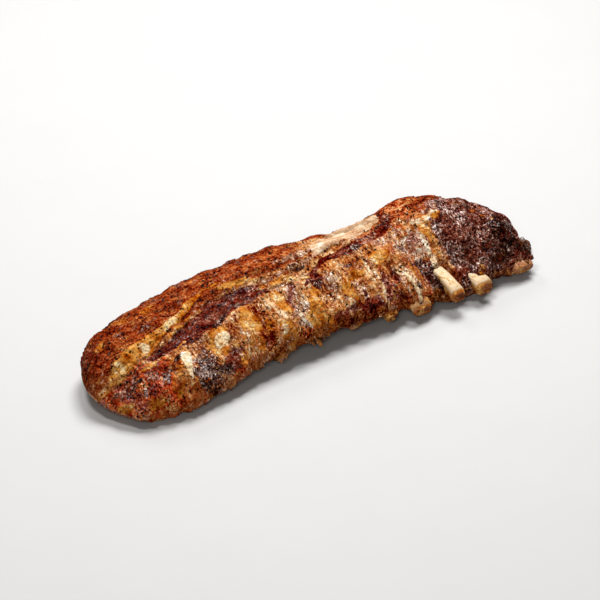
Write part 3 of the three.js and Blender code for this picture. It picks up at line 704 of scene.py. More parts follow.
def buildBone(number, bone, material):
    # rings of an oval along the arc, closed by rings that shrink to a hollow at both ends
    along, around = boneLook["along"], boneLook["around"]
    t = (1 - np.cos(np.linspace(0, 1, along) * np.pi)) / 2
    y = mix(bone["tipY"], bone["farY"], t)
    cx, cz = boneAxis(bone, y)
    taper = mix(boneForm["sawnEnd"], 1, smooth(t / 0.03) * smooth((1 - t) / 0.03))
    # the tips that the meat all but covers are worn smaller and carry torn shreds
    tornAndShaded = bone.get("brownedAndShaded", 1) ** 2 * smooth((9 - (y - bone["tipY"])) / 6)
    size = (1 - boneForm["waist"] * np.sin(t * np.pi)) * taper * (1 - boneLook["tornTaper"] * tornAndShaded)
    angle = np.linspace(0, 2 * np.pi, around, endpoint=False)[None, :]
    # the section is an oval with fuller corners and a faint groove along its crown
    groove = (1 - boneLook["groove"] * swell((np.sin(angle) - 1) / 0.1)
              + boneLook["flatFlanks"] * np.sin(2 * angle) ** 2)
    wave = noise(np.cos(angle) * 1.3 + number * 5, np.sin(angle) * 1.3, y[:, None] / 9, 201)
    stripe = noise(np.cos(angle) * 6 + number * 5, np.sin(angle) * 6, y[:, None] / 14, 205)
    flare = boneLook["flare"] * (swell((t - 0.02) / 0.05) * (1 - tornAndShaded))[:, None]
    shreds = fractal(np.cos(angle) * 1.8 + number * 5, np.sin(angle) * 1.8, y[:, None] / 2.4, 207, 2)
    reach = boneLook["grain"] * (1.4 * wave + 0.6 * stripe) + bone["width"] / 2 * flare
    reach = reach + boneLook["shreds"] * tornAndShaded[:, None] * shreds
    oval = size[:, None] * groove
    px = cx[:, None] + (bone["width"] / 2 * oval + reach) * np.cos(angle)
    # the crown rolls down towards the sawn tip, and the cut itself is chipped
    nose = (boneLook["noseDrop"] * smooth(1 - (y - bone["tipY"]) / boneLook["noseLength"]))[:, None]
    rise = (bone["height"] / 2 * oval + reach) * np.sin(angle)
    pz = cz[:, None] + mix(rise, np.minimum(rise, 0) * 1.1 + np.maximum(rise, 0) * 0.1, nose)
    chips = 1 + noise(np.cos(angle) * 1.7 + number * 5, np.sin(angle) * 1.7, 0, 217)
    py = y[:, None] + boneLook["chipped"] * chips * smooth(1 - (y[:, None] - bone["tipY"]) / 4) / 2
    wall = np.stack([px, py, pz], -1)
    rings, marrow = [wall], [np.zeros((along, around))]
    for end, inwards in ((0, 1), (-1, -1)):
        middle = wall[end].mean(axis=0)
        capRings = []
        for k in range(1, boneLook["endRings"] + 1):
            shrink = 1 - k / (boneLook["endRings"] + 0.4)
            ring = middle + (wall[end] - middle) * shrink
            marrowEdge = boneLook["marrowAt"] + 0.1 * noise(ring[:, 0] / 2, number, 0, 213)
            hollow = smooth((marrowEdge - shrink) / 0.15)
            pit = noise(ring[:, 0] / 1.1, number, ring[:, 2] / 1.1, 211)
            ring[:, 1] += inwards * (boneLook["marrowDepth"] * hollow * (1 + pit) + 0.1)
            capRings.append(ring)
            marrow.append(0.3 + 0.7 * hollow[None, :])
        rings.append(np.array(capRings))
    points = np.concatenate([r.reshape(-1, 3) for r in rings])
    index = np.arange(len(points)).reshape(-1, around)
    count = boneLook["endRings"]
    nearRings = np.concatenate([index[along:along + count][::-1], index[:1]])
    farRings = np.concatenate([index[along - 1:along], index[along + count:]])
    grids = [index[:along], nearRings, farRings]
    faces = [np.stack([g[:-1], g[1:], np.roll(g[1:], -1, 1), np.roll(g[:-1], -1, 1)], -1).reshape(-1, 4)
             for g in grids]
    faces.append(index[along + count - 1][None, :])
    faces.append(index[-1][None, ::-1])
    fromTip = points[:, 1] - bone["tipY"]
    # flanks, underside, the cut's rim and the far end take more colour than the crown; the lower half is
    # partly roasted colour and partly painted shade below a lit crown
    low = smooth(0.5 - (points[:, 2] - boneAxis(bone, points[:, 1])[1]) / bone["height"])
    brownedAndShaded = np.max([np.full(len(points), float(bone.get("brownedAndShaded", 1))), 0.28 + 0.8 * low,
                      0.85 * smooth((5 - fromTip) / 4), smooth((fromTip - 60) / 20)], axis=0)
    brownedAndShaded = brownedAndShaded * (1 - 0.45 * bone.get("blush", 0))
    # painted shade: the tips that the meat all but covers are stained dark, partly roasted meat and partly
    # the shade under the rim
    shadedTipStain = bone.get("brownedAndShaded", 1) ** 2 * smooth((9 - fromTip) / 6)
    marrow = np.concatenate([m.ravel() for m in marrow]) * bone.get("marrow", 1)
    masks = {"marrow": marrow * (1 - shadedTipStain), "brownedAndShaded": brownedAndShaded, "tornAndShaded": shadedTipStain,
             "blush": np.full(len(points), bone.get("blush", 0.0))}
    return addMesh("ribBone%02d" % number, points, faces, masks, material)


# small things scattered on the crust: count, size in millimetres, and how much each kind of surface gets
scattered = {
    "pepperFlecks": {"count": 4500, "radius": (0.24, 0.78), "flatness": 0.45, "sink": 0.2, "seed": 5,
                     "likes": {"base": 0.55, "char": 1.5, "dark": 0.1, "loin": 0.75, "brown": 0.6,
                               "gold": -0.35, "pale": -1.2, "skin": -1.5}},
    "crustFlakes": {"count": 900, "radius": (0.5, 1.2), "flatness": 0.25, "sink": 0.05, "seed": 6,
                    "likes": {"base": 0.55, "dark": 1.0, "char": 1.2, "gold": -0.2, "pale": -1.0,
                              "skin": -1.5}},
    "juiceBeads": {"count": 500, "radius": (0.3, 0.8), "flatness": 0.4, "sink": 0.1, "seed": 7,
                   "likes": {"base": 0.5, "peach": 0.6, "gold": 0.4, "loin": -0.4, "dark": -0.2,
                             "skin": -0.6}},
}


def pickSpots(count, weight, sheets, rng):
    # places on the upper sheet, drawn by weight times the area of each cell
    top, normals = sheets["top"], sheets["normals"]
    area = np.linalg.norm(np.cross(top[1:, :-1] - top[:-1, :-1], top[:-1, 1:] - top[:-1, :-1]), axis=-1)
    odds = np.maximum(weight[:-1, :-1], 0) * area
    cells = rng.choice(odds.size, count, p=odds.ravel() / odds.sum())
    i, j = np.unravel_index(cells, odds.shape)
    a, b = rng.random((2, count, 1))
    spot = top[i, j] + (top[i + 1, j] - top[i, j]) * a + (top[i, j + 1] - top[i, j]) * b
    return spot, normals[i, j], i, j


def framesFor(normals, heading):
    # two unit directions in the surface at each spot; the first one follows heading
    first = unit(heading - normals * np.sum(heading * normals, -1, keepdims=True))
    return first, np.cross(normals, first)


def likesOf(likes, masks):
    # the sum of each mask times how much this kind likes it
    return sum(value * (masks[key] if key != "base" else 1) for key, value in likes.items())


def buildScatter(name, form, sheets, material):
    # low lens-shaped grains: two rings of points and two poles, each grain with its own uneven outline
    rng = np.random.default_rng(form["seed"])
    count, around = form["count"], 7
    masks = sheets["masks"]
    weight = likesOf(form["likes"], masks) * (masks["shadedLip"] < 0.4)
    clumps = fractal(sheets["x"] / 8, sheets["v"] / 8, 0, 300 + form["seed"], 3)
    spot, normal, i, j = pickSpots(count, weight * smooth(0.45 + 1.2 * clumps), sheets, rng)
    first, second = framesFor(normal, rng.normal(size=(count, 3)))
    radius = mix(form["radius"][0], form["radius"][1], rng.random(count) ** 2)[:, None, None]
    angle = np.arange(around) / around * 2 * np.pi
    outline = 1 + 0.35 * rng.uniform(-1, 1, (count, 1, around))
    longer = 1 + 0.6 * rng.random((count, 1, 1))
    profile = np.array([(1.0, 0.0), (0.6, 0.75)])
    reach = profile[None, :, 0, None] * radius * outline
    lift = (profile[None, :, 1, None] * radius * form["flatness"]
            * (1 + 0.4 * rng.uniform(-1, 1, (count, 2, around))) + form["sink"] * radius)
    ringPoints = (spot[:, None, None]
                  + first[:, None, None] * (reach * longer * np.cos(angle))[..., None]
                  + second[:, None, None] * (reach * np.sin(angle))[..., None]
                  + normal[:, None, None] * lift[..., None])
    poleLift = radius * (np.array([[[-0.7], [1.0]]]) * form["flatness"] + form["sink"])
    poles = spot[:, None] + normal[:, None] * poleLift
    points = np.concatenate([ringPoints.reshape(count, 2 * around, 3), poles], 1)
    k = np.arange(around)
    nextK = (k + 1) % around
    quads = np.stack([k, nextK, nextK + around, k + around], -1)
    caps = np.concatenate([np.stack([nextK, k, 0 * k + 2 * around], -1),
                           np.stack([k + around, nextK + around, 0 * k + 2 * around + 1], -1)])
    size = 2 * around + 2
    offset = (np.arange(count) * size)[:, None, None]
    faces = [(quads + offset).reshape(-1, 4), (caps + offset).reshape(-1, 3)]
    # a grain is brighter on fat and darker on dark crust
    under = (0.35 + 0.3 * (masks["gold"] + masks["peach"]) + 0.5 * masks["pale"]
             - 0.25 * (masks["dark"] + masks["lean"]))
    tone = np.repeat(np.clip(under[i, j] + rng.normal(0, 0.14, count), 0, 1), size)
    return addMesh(name, points.reshape(-1, 3), faces, {"tone": tone}, material)


def stripMesh(name, centres, sideways, upwards, widths, heights, tones, taper, material, around=6):
    # an oval section, uneven and thinning towards the end, carried along each strip;
    # centres, sideways and upwards hold three numbers for each step of each strip
    count, steps = centres.shape[:2]
    angle = np.arange(around) / around * 2 * np.pi
    s = np.linspace(0, 1, steps)
    rng = np.random.default_rng(count)
    ragged = 1 + 0.4 * rng.uniform(-1, 1, (count, steps)) * taper
    slim = np.clip(1 - s ** 3, 0.03, 1) ** (0.5 + taper) * ragged * np.clip(s / 0.1 + 0.25, 0, 1)
    ring = (sideways[:, :, None] * (np.cos(angle)[None, None] * widths[:, None, None])[..., None]
            + upwards[:, :, None] * (np.sin(angle)[None, None] * heights[:, None, None])[..., None])
    points = (centres[:, :, None] + ring * slim[:, :, None, None]).reshape(-1, 3)
    grid = np.arange(steps * around).reshape(steps, around)
    turned = np.roll(grid, -1, 1)
    quads = np.stack([grid[:-1], turned[:-1], turned[1:], grid[1:]], -1).reshape(-1, 4)
    caps = np.stack([grid[0][::-1], grid[-1]])
    offset = (np.arange(count) * steps * around)[:, None, None]
    faces = [(quads + offset).reshape(-1, 4), (caps + offset).reshape(-1, around)]
    return addMesh(name, points, faces, {"tone": np.repeat(tones, steps * around)}, material)


fibres = {"count": 1250, "length": (3, 8), "width": (0.3, 0.75), "along": 8, "seed": 8,
          "everywhere": 0.08, "inBand": 0.45, "bandWidth": 18,      # odds besides those where it is wet
          "slant": 0.12, "wave": 0.4, "lift": 0.05, "toneSpread": 0.14}


def buildFibres(sheets, material):
    # torn strands that lie across the ribs and along the loin, following the crust
    rng = np.random.default_rng(fibres["seed"])
    count, steps = fibres["count"], fibres["along"]
    masks, x, v = sheets["masks"], sheets["x"], sheets["v"]
    # in the seam and the lean band below it the strands lie lengthwise, as on the loin
    aboveBand = v - curve(slab["seam"], x) * slab["halfWidth"] + fibres["bandWidth"]
    band = smooth(aboveBand / 3) * smooth((15 - x) / 10)
    weight = fibres["everywhere"] + masks["wet"] ** 2 + fibres["inBand"] * band
    weight = weight * (1 - 0.8 * masks["loin"]) * (1 - masks["skin"])
    weight = weight * (1 - masks["pale"]) * (1 - 0.4 * masks["dark"]) * (np.abs(v) < 47)
    i, j = pickSpots(count, weight, sheets, rng)[2:]
    rows, columns = x.shape
    alongLoin = np.maximum(masks["loin"], band)[i, j] > 0.5
    length = rng.uniform(*fibres["length"], count)
    # strands walk over the sheet's own grid, so they stay on the crust
    s = np.linspace(-0.5, 0.5, steps)[None, :] * length[:, None]
    slant = rng.normal(0, fibres["slant"], count)[:, None] * s
    slant = slant + fibres["wave"] * np.sin(s * rng.uniform(0.3, 0.9, (count, 1)))
    di, dj = np.where(alongLoin[:, None], s, slant), np.where(alongLoin[:, None], slant, s)
    fi = np.clip(i[:, None] + di, 0, rows - 1.001)
    fj = np.clip(j[:, None] + dj, 0, columns - 1.001)
    a, b = fi.astype(int), fj.astype(int)
    ta, tb = (fi - a)[..., None], (fj - b)[..., None]
    top = sheets["top"]
    centres = mix(mix(top[a, b], top[a + 1, b], ta), mix(top[a, b + 1], top[a + 1, b + 1], ta), tb)
    heading = unit(np.gradient(centres, axis=1))
    side = np.cross(sheets["normals"][a, b], heading)
    up = np.cross(heading, side)
    width = rng.uniform(*fibres["width"], count) / 2
    centres = centres + up * fibres["lift"]
    tone = (0.38 + 0.3 * masks["gold"] + 0.25 * masks["peach"] - 0.15 * masks["brown"]
            - 0.3 * (masks["lean"] + masks["dark"] + masks["char"]))[i, j]
    tone = np.clip(tone - 0.1 * alongLoin + rng.normal(0, fibres["toneSpread"], count), 0, 1)
    return stripMesh("tornFibres", centres, side, up, width, width * 0.7, tone, 0.3, material)


# each end of the tuft is x, v and spread in millimetres
tuft = {"count": 44, "from": (183, -37, 3), "to": (190, -44, 2.4), "lift": (2.5, 8), "width": (0.3, 0.6),
        "sway": 0.9, "along": 8, "seed": 12}


def buildTuft(sheets, material):
    # charred threads that arch over from one place on the crust to another beside the first bone
    rng = np.random.default_rng(tuft["seed"])
    count, steps = tuft["count"], tuft["along"]
    ends = []
    for x, v, spread in (tuft["from"], tuft["to"]):
        weight = swell((sheets["x"] - x) / spread) * swell((sheets["v"] - v) / spread)
        ends.append(pickSpots(count, weight, sheets, rng)[0][:, None])
    s = np.linspace(0, 1, steps)[None, :, None]
    arch = np.sin(np.pi * s)
    lift = rng.uniform(*tuft["lift"], (count, 1, 1)) * arch
    sway = rng.normal(0, tuft["sway"], (count, 1, 2)) * arch
    sway = sway + 0.5 * np.sin(s * rng.uniform(4, 9, (count, 1, 2)))
    centres = mix(ends[0], ends[1], s) + np.concatenate([sway, lift], -1)
    heading = unit(np.gradient(centres, axis=1))
    side = unit(np.cross(np.broadcast_to([0.6, 0.8, 0.0], heading.shape), heading))
    up = np.cross(heading, side)
    width = rng.uniform(*tuft["width"], count) / 2
    tone = np.clip(rng.normal(0.16, 0.2, count), 0, 1)
    return stripMesh("charredTuft", centres, side, up, width, width * 0.8, tone, 0.3, material)


scraps = {"count": 16, "length": (3, 5), "width": (3, 6), "thickness": 1.1, "along": 9, "seed": 9,
          # x, length and width of the largest scraps of meat that hang from the rib edge
          "large": [(-10, 10, 9), (-14, 7, 6), (-42, 9, 9), (-36, 7, 6), (20, 7, 8), (48, 7, 8),
                    (93, 6, 8)]}


def buildScraps(material):
    # tatters of meat that hang from the rib edge, drooping as they leave it
    rng = np.random.default_rng(scraps["seed"])
    steps = scraps["along"]
    large = np.array(scraps["large"], float)
    x = np.concatenate([large[:, 0], rng.uniform(-100, 100, scraps["count"])])
    length = np.concatenate([large[:, 1], rng.uniform(*scraps["length"], scraps["count"])])
    width = np.concatenate([large[:, 2], rng.uniform(*scraps["width"], scraps["count"])]) / 2
    # none hangs over a bone that stands out of the edge
    clear = besideBones(x, [b for b in bones if b["reach"] > 0]) - 1 > width
    x, length, width = x[clear], length[clear], width[clear]
    count = len(x)
    isLarge = np.arange(count) < clear[:len(large)].sum()
    shadedLip = np.array([rimY(value, -1) for value in x])
    startZ = curve(slab["lipHeight"], x) + np.where(isLarge, -3, rng.uniform(-5, 3, count))
    s = np.linspace(0, 1, steps)[None, :]
    out = np.where(isLarge, rng.uniform(0.5, 0.8, count), rng.uniform(0.1, 0.45, count))[:, None]
    turn = rng.normal(0, 0.35, count)[:, None]
    reach = length[:, None] * s
    cx = x[:, None] + reach * np.sin(turn) + 0.7 * np.sin(4 * s + 6 * rng.random((count, 1))) * s
    cy = shadedLip[:, None] + 3.5 - reach * out * np.cos(turn)
    cz = np.maximum(startZ[:, None] - reach * s * (0.4 + 0.5 * (1 - out)), 1.2)     # clear of the floor
    centres = np.stack([cx, cy, cz], -1)
    heading = unit(np.gradient(centres, axis=1))
    roll = rng.normal(0, 0.5, (count, 1)) + 0.8 * s
    side = np.stack([np.cos(roll), 0 * roll, np.sin(roll)], -1)
    side = unit(side - heading * np.sum(side * heading, -1, keepdims=True))
    up = np.cross(side, heading)
    tone = np.where(isLarge, 0.5, rng.uniform(0.05, 0.45, count))
    halfThickness = np.full(count, scraps["thickness"] / 2)
    return stripMesh("edgeScraps", centres, side, up, width, halfThickness, tone, 1.0, material)


# material helpers
def feed(tree, socket, value):
    # a link where value is another node's output, and otherwise the socket's own value
    if isinstance(value, bpy.types.NodeSocket):
        tree.links.new(value, socket)
    else:
        socket.default_value = value


def node(tree, kind, inputs=None, **settings):
    # a new node with its settings, and its inputs fed by name
    made = tree.nodes.new(kind)
    for key, value in settings.items():
        setattr(made, key, value)
    for key, value in (inputs or {}).items():
        feed(tree, made.inputs[key], value)
    return made


def newMaterial(name, **fixed):
    # fixed holds the shader's own values that are the same all over
    material = bpy.data.materials.new(name)
    material.use_nodes = True
    tree = material.node_tree
    tree.nodes.clear()
    shader = node(tree, "ShaderNodeBsdfPrincipled")
    for key, value in fixed.items():
        shader.inputs[key.replace("_", " ")].default_value = value
    node(tree, "ShaderNodeOutputMaterial", {"Surface": shader.outputs[0]}).location = (400, 0)
    place = node(tree, "ShaderNodeTexCoord").outputs["Object"]
    return material, tree, shader, place


def grainOf(tree, place, size, stretch=(1, 1, 1), detail=3, roughness=0.6, shift=0):
    # noise whose features are size millimetres, longer by stretch along each axis
    scale = [1000 / (size * s) for s in stretch]
    mapped = node(tree, "ShaderNodeMapping", {"Vector": place, "Scale": scale, "Location": (shift,) * 3})
    return node(tree, "ShaderNodeTexNoise", {"Vector": mapped.outputs[0], "Scale": 1.0, "Detail": detail,
                                             "Roughness": roughness}).outputs[0]


def calc(tree, operation, *values, clamp=False):
    # one step of arithmetic on the values, which are numbers or outputs
    made = node(tree, "ShaderNodeMath", operation=operation, use_clamp=clamp)
    for socket, value in zip(made.inputs, values):
        feed(tree, socket, value)
    return made.outputs[0]


def weighed(tree, *pairs):
    # the sum of each weight times its noise less a half, about zero on average
    total = 0.0
    for weight, value in pairs:
        total = calc(tree, "MULTIPLY_ADD", calc(tree, "SUBTRACT", value, 0.5), weight, total)
    return total


# how bright the stage's light makes a surface, how much sheen lies over it, and its darkest colour
lighting = {"level": 1.3, "sheen": 0.006, "darkest": 0.0005}


def surfaceColour(seen):
    # the shader's colour for a colour of 0 to 255 as it is seen under the stage's light:
    # made linear, less the sheen, over the light's level
    straight = (c / 255 / 12.92 if c < 11 else ((c / 255 + 0.055) / 1.055) ** 2.4 for c in seen)
    return tuple(max(c - lighting["sheen"], lighting["darkest"]) / lighting["level"] for c in straight)


def tones(tree, value, colours):
    # seen colours from darkest to brightest, over a value that is mostly between -1 and 1
    made = node(tree, "ShaderNodeValToRGB", {"Fac": calc(tree, "MULTIPLY_ADD", value, 0.5, 0.5)})
    elements = made.color_ramp.elements
    while len(elements) < len(colours):
        elements.new(0.5)
    places = (0.0, 0.18, 0.5, 0.82, 1.0) if len(colours) == 5 else np.linspace(0, 1, len(colours))
    for element, position, colour in zip(elements, places, colours):
        element.position = position
        element.color = (*surfaceColour(colour), 1)
    return made.outputs[0]


def blendColour(tree, factor, a, b):
    # colour a where the factor is 0 and b where it is 1
    made = node(tree, "ShaderNodeMix", data_type="RGBA", clamp_factor=True)
    for name, value in (("Factor_Float", factor), ("A_Color", a), ("B_Color", b)):
        feed(tree, next(s for s in made.inputs if s.identifier == name), value)
    return next(s for s in made.outputs if s.identifier == "Result_Color")


def attributeOf(tree, name):
    # the number that the mesh holds under this name
    return node(tree, "ShaderNodeAttribute", attribute_name=name).outputs["Fac"]


def maskOf(tree, name, breakUp, amount=1.0, sharpness=4.0):
    # an attribute whose edge is broken up by a noise about zero, then sharpened
    shifted = calc(tree, "MULTIPLY_ADD", breakUp, amount, attributeOf(tree, name))
    return steeper(tree, shifted, sharpness)


def steeper(tree, value, sharpness):
    # the value's slope about its middle of a half is made sharpness times as steep
    return calc(tree, "MULTIPLY_ADD", calc(tree, "SUBTRACT", value, 0.5), sharpness, 0.5, clamp=True)


def over(tree, value, start, steepness):
    # zero up to start, then rising by steepness, up to one
    return calc(tree, "MULTIPLY", calc(tree, "SUBTRACT", value, start), steepness, clamp=True)


def bumpOn(tree, shader, socketName, heights, strength, depth):
    # heights of a noise, depth metres deep, on the shader's normal or its coat's
    bump = node(tree, "ShaderNodeBump", {"Height": heights, "Strength": strength, "Distance": depth})
    tree.links.new(bump.outputs[0], shader.inputs[socketName])


# colours of the meat as they are seen, from the darkest specks to the brightest
meatColours = {
    "loin": [(40, 8, 5), (106, 29, 16), (148, 62, 32), (178, 98, 51), (214, 144, 80)],
    "brown": [(24, 5, 4), (122, 24, 13), (188, 70, 36), (206, 114, 60), (234, 178, 120)],
    "rib": [(78, 16, 10), (146, 64, 31), (192, 122, 66), (219, 167, 110), (242, 212, 174)],
    "gold": [(110, 34, 8), (158, 72, 20), (199, 122, 45), (220, 160, 84), (243, 212, 156)],
    "pale": [(186, 126, 70), (222, 182, 132), (237, 212, 170), (249, 236, 210), (255, 252, 243)],
    "skin": [(134, 82, 52), (176, 130, 94), (203, 165, 128), (227, 202, 172), (244, 230, 210)],
    "peach": [(60, 20, 14), (120, 64, 45), (178, 128, 98), (220, 186, 156), (248, 232, 216)],
    "lean": [(20, 1, 1), (72, 11, 7), (110, 36, 24), (148, 78, 56), (204, 152, 126)],
    # the brightest stops of dark, char and soot are whitish painted glints on the dark crust
    "dark": [(8, 2, 2), (62, 20, 14), (114, 56, 42), (172, 118, 98), (230, 204, 194)],
    "char": [(4, 2, 2), (26, 11, 9), (90, 50, 39), (154, 118, 104), (222, 194, 182)],
    # painted shade: the near rim and the walls below it, coloured as if in shade
    "shadedLip": [(8, 3, 2), (46, 10, 5), (136, 58, 22), (184, 114, 60), (218, 164, 108)],
    "soot": [(2, 1, 1), (14, 6, 5), (44, 21, 16), (96, 62, 50), (196, 164, 150)],
    "under": [(84, 32, 14), (124, 60, 30), (160, 92, 50), (187, 131, 86), (213, 176, 134)],
    "boneLine": [(112, 58, 30), (156, 104, 64), (188, 140, 96), (212, 172, 130), (234, 204, 170)],
}


# noises of the crust: size in millimetres, stretch along X, Y and Z, detail, roughness, shift
crustGrain = {
    "fine": (1.5, (1, 1, 1), 0, 0.6, 0), "grit": (4.2, (1, 1, 1), 3, 0.7, 7),
    "coarse": (14, (1, 1, 1), 2, 0.6, 3), "medium": (9, (1, 1, 1), 1, 0.6, 37),
    "along": (2.8, (5, 1, 1), 2, 0.6, 11), "across": (2.6, (1, 5, 3), 2, 0.6, 17),
    "veins": (4.5, (1, 1, 1), 2, 0.6, 41), "shreds": (1.3, (1, 3, 2), 1, 0.5, 47),
    "ripple": (2.2, (1, 1, 1), 0, 0.6, 23), "strands": (1.9, (1, 5, 3), 0, 0.6, 29),
}
# weights that bring the sums which pick a colour to a spread of about a half
crustSums = {
    "plain": {"blotch": 0.8, "fine": 3.1, "coarse": 1.4, "medium": 1.0},
    "loin": {"blotch": 0.5, "fine": 2.9, "coarse": 1.4, "medium": 1.6, "along": 2.8},
    # in the ribs' sum, the ridge mask is painted light over the bones and painted shade between them
    "rib": {"blotch": 0.6, "fine": 2.6, "coarse": 1.6, "medium": 1.5, "across": 3.2, "ridgeShading": 1.0},
    "fat": {"blotch": 0.25, "fine": 0.5, "coarse": 2.6, "medium": 3.2, "across": 1.6},
    "skin": {"fine": 1.2, "coarse": 2.4, "along": 3.6},
    "breakUp": {"blotch": 0.5, "fine": 0.8, "coarse": 1.6},
    "bumps": {"ripple": 1.0, "strands": 0.8, "shreds": 0.6},
}
# dark marks cut into four of the sums, carrying the painted glint flecks that lighten them: which ones, and
# how deep
crustCuts = {"plain": ("marks", -1.5), "loin": ("marks", -1.0), "rib": ("specks", -1.1),
             "fat": ("specks", -0.8)}
# what lies over the loin's and the ribs' colours, in order: name, sum, how ragged its border is
crustLayers = [("brown", "rib", 1.0), ("dark", "plain", 0.7), ("peach", "rib", 0.8), ("lean", "loin", 0.4),
               ("gold", "gold", 0.8), ("char", "plain", 0.9), ("soot", "plain", 0.9), ("skin", "skin", 0.3),
               ("pale", "fat", 0.4), ("shadedLip", "plain", 0.8), ("under", "fat", 0.1),
               ("boneLine", "plain", 0.5)]
crustFinish = {
    "blotchSteepness": 7.0, "speckFrom": 0.64, "speckSteepness": 12.0, "lineSteepness": -55.0,
    # after lineShare, four values for the painted glint flecks: where they start on their noise, how
    # steeply, and how far they lighten the marks and the specks
    "lineShare": 0.7, "glintFleckFrom": 0.55, "glintFleckSteepness": 9.0,
    "glintFlecksInMarks": -1.1, "glintFlecksInSpecks": -0.9,
    "soaked": (1.6, -0.3),            # how the wet mask becomes the share of painted glint flecks and lines
    "fatMiddle": (0.85, 1.4),         # mask where fat takes its middle tone, and how fast it pales
    "brighter": 0.1, "coat": 0.9, "bumpDepth": 0.0014, "coatBumpDepth": 0.0025,
}


def roastedMeat():
    # each layer's colours run over a sum of noises, and its mask is broken up by another one
    material, tree, shader, place = newMaterial("roastedCrust", Specular_IOR_Level=0.0, Coat_Roughness=0.05)
    grain = {name: grainOf(tree, place, *form) for name, form in crustGrain.items()}
    # painted light over the ribs and painted shade in the valleys between them
    grain["ridgeShading"] = attributeOf(tree, "ridgeShading")
    look = crustFinish
    grain["blotch"] = steeper(tree, grain["grit"], look["blotchSteepness"])
    sums = {name: weighed(tree, *((weight, grain[key]) for key, weight in weights.items()))
            for name, weights in crustSums.items()}
    # sparse dark specks, and thin dark lines where a noise passes its middle
    specks = over(tree, grain["fine"], look["speckFrom"], look["speckSteepness"])
    offMiddle = calc(tree, "ABSOLUTE", calc(tree, "SUBTRACT", grain["veins"], 0.5))
    lines = calc(tree, "MULTIPLY_ADD", offMiddle, look["lineSteepness"], 1.0, clamp=True)
    # painted glints: pale flecks where juice stands, and darker lines than elsewhere there
    soaked = calc(tree, "MULTIPLY_ADD", attributeOf(tree, "wet"), *look["soaked"], clamp=True)
    shreds = over(tree, grain["shreds"], look["glintFleckFrom"], look["glintFleckSteepness"])
    shreds = calc(tree, "MULTIPLY", shreds, soaked)
    specks = calc(tree, "MAXIMUM", specks, calc(tree, "MULTIPLY", lines, soaked))
    marks = calc(tree, "MAXIMUM", specks, calc(tree, "MULTIPLY", lines, look["lineShare"]))
    cuts = {"marks": calc(tree, "MULTIPLY_ADD", shreds, look["glintFlecksInMarks"], marks),
            "specks": calc(tree, "MULTIPLY_ADD", shreds, look["glintFlecksInSpecks"], specks)}
    tone = {"skin": sums["skin"]}
    for name, (cut, depth) in crustCuts.items():
        cutInto = calc(tree, "MULTIPLY_ADD", cuts[cut], depth, sums[name])
        tone[name] = calc(tree, "ADD", cutInto, look["brighter"])
    # a patch of fat is palest in its middle
    middleAt, paling = look["fatMiddle"]
    fromMiddle = calc(tree, "SUBTRACT", attributeOf(tree, "gold"), middleAt)
    tone["gold"] = calc(tree, "MULTIPLY_ADD", fromMiddle, paling, tone["fat"])
    colour = blendColour(tree, maskOf(tree, "loin", sums["breakUp"], 0.7),
                         tones(tree, tone["rib"], meatColours["rib"]),
                         tones(tree, tone["loin"], meatColours["loin"]))
    for name, toneName, ragged in crustLayers:
        shade = tones(tree, tone[toneName], meatColours[name])
        colour = blendColour(tree, maskOf(tree, name, sums["breakUp"], ragged), colour, shade)
    tree.links.new(colour, shader.inputs["Base Color"])
    tree.links.new(calc(tree, "MULTIPLY_ADD", grain["coarse"], 0.3, 0.3), shader.inputs["Roughness"])
    # juice lies over part of the crust and catches the light in separate glints
    wet = calc(tree, "MULTIPLY", maskOf(tree, "wet", sums["breakUp"], 0.8, 2.5), look["coat"])
    tree.links.new(wet, shader.inputs["Coat Weight"])
    smoother = calc(tree, "MULTIPLY_ADD", attributeOf(tree, "skin"), -0.6, 1.0)
    heights = calc(tree, "MULTIPLY", sums["bumps"], smoother)
    bumpOn(tree, shader, "Normal", heights, 1.0, look["bumpDepth"])
    bumpOn(tree, shader, "Coat Normal", heights, 1.0, look["coatBumpDepth"])
    return material


# colours of bone from the darkest grain to the brightest
boneColours = {
    "clean": [(190, 132, 72), (222, 182, 126), (238, 214, 172), (247, 234, 208), (253, 247, 233)],
    "brownedAndShaded": [(60, 16, 6), (120, 50, 16), (174, 94, 34), (210, 140, 66), (234, 184, 112)],
    "marrow": [(40, 10, 5), (88, 32, 12), (136, 62, 22), (180, 104, 44), (218, 156, 84)],
    # the covered tips: roasted meat darkened with painted shade
    "tornAndShaded": [(24, 5, 3), (76, 26, 10), (130, 66, 24), (182, 114, 48), (224, 174, 104)],
    "blush": [(96, 42, 26), (152, 88, 60), (196, 136, 102), (224, 172, 138), (240, 206, 178)],
}


def ribBone():
    # clean bone with stains over it, all with a grain that runs along the bone
    material, tree, shader, place = newMaterial("ribBone", Specular_IOR_Level=0.05, Coat_Weight=0.08,
                                                Coat_Roughness=0.1)
    fine = grainOf(tree, place, 1.1, detail=3)
    along = grainOf(tree, place, 1.2, (1, 8, 1), 3, shift=5)
    coarse = grainOf(tree, place, 7, detail=3, shift=9)
    tone = weighed(tree, (2.4, fine), (4.4, along), (5.0, coarse))
    colour = tones(tree, tone, boneColours["clean"])
    for name in ("blush", "brownedAndShaded", "marrow", "tornAndShaded"):
        stain = tones(tree, tone, boneColours[name])
        colour = blendColour(tree, maskOf(tree, name, tone, 0.3, 2.5), colour, stain)
    tree.links.new(colour, shader.inputs["Base Color"])
    tree.links.new(calc(tree, "MULTIPLY_ADD", fine, 0.4, 0.15), shader.inputs["Roughness"])
    bumpOn(tree, shader, "Normal", weighed(tree, (0.5, fine), (1.0, along)), 0.8, 0.0008)
    return material


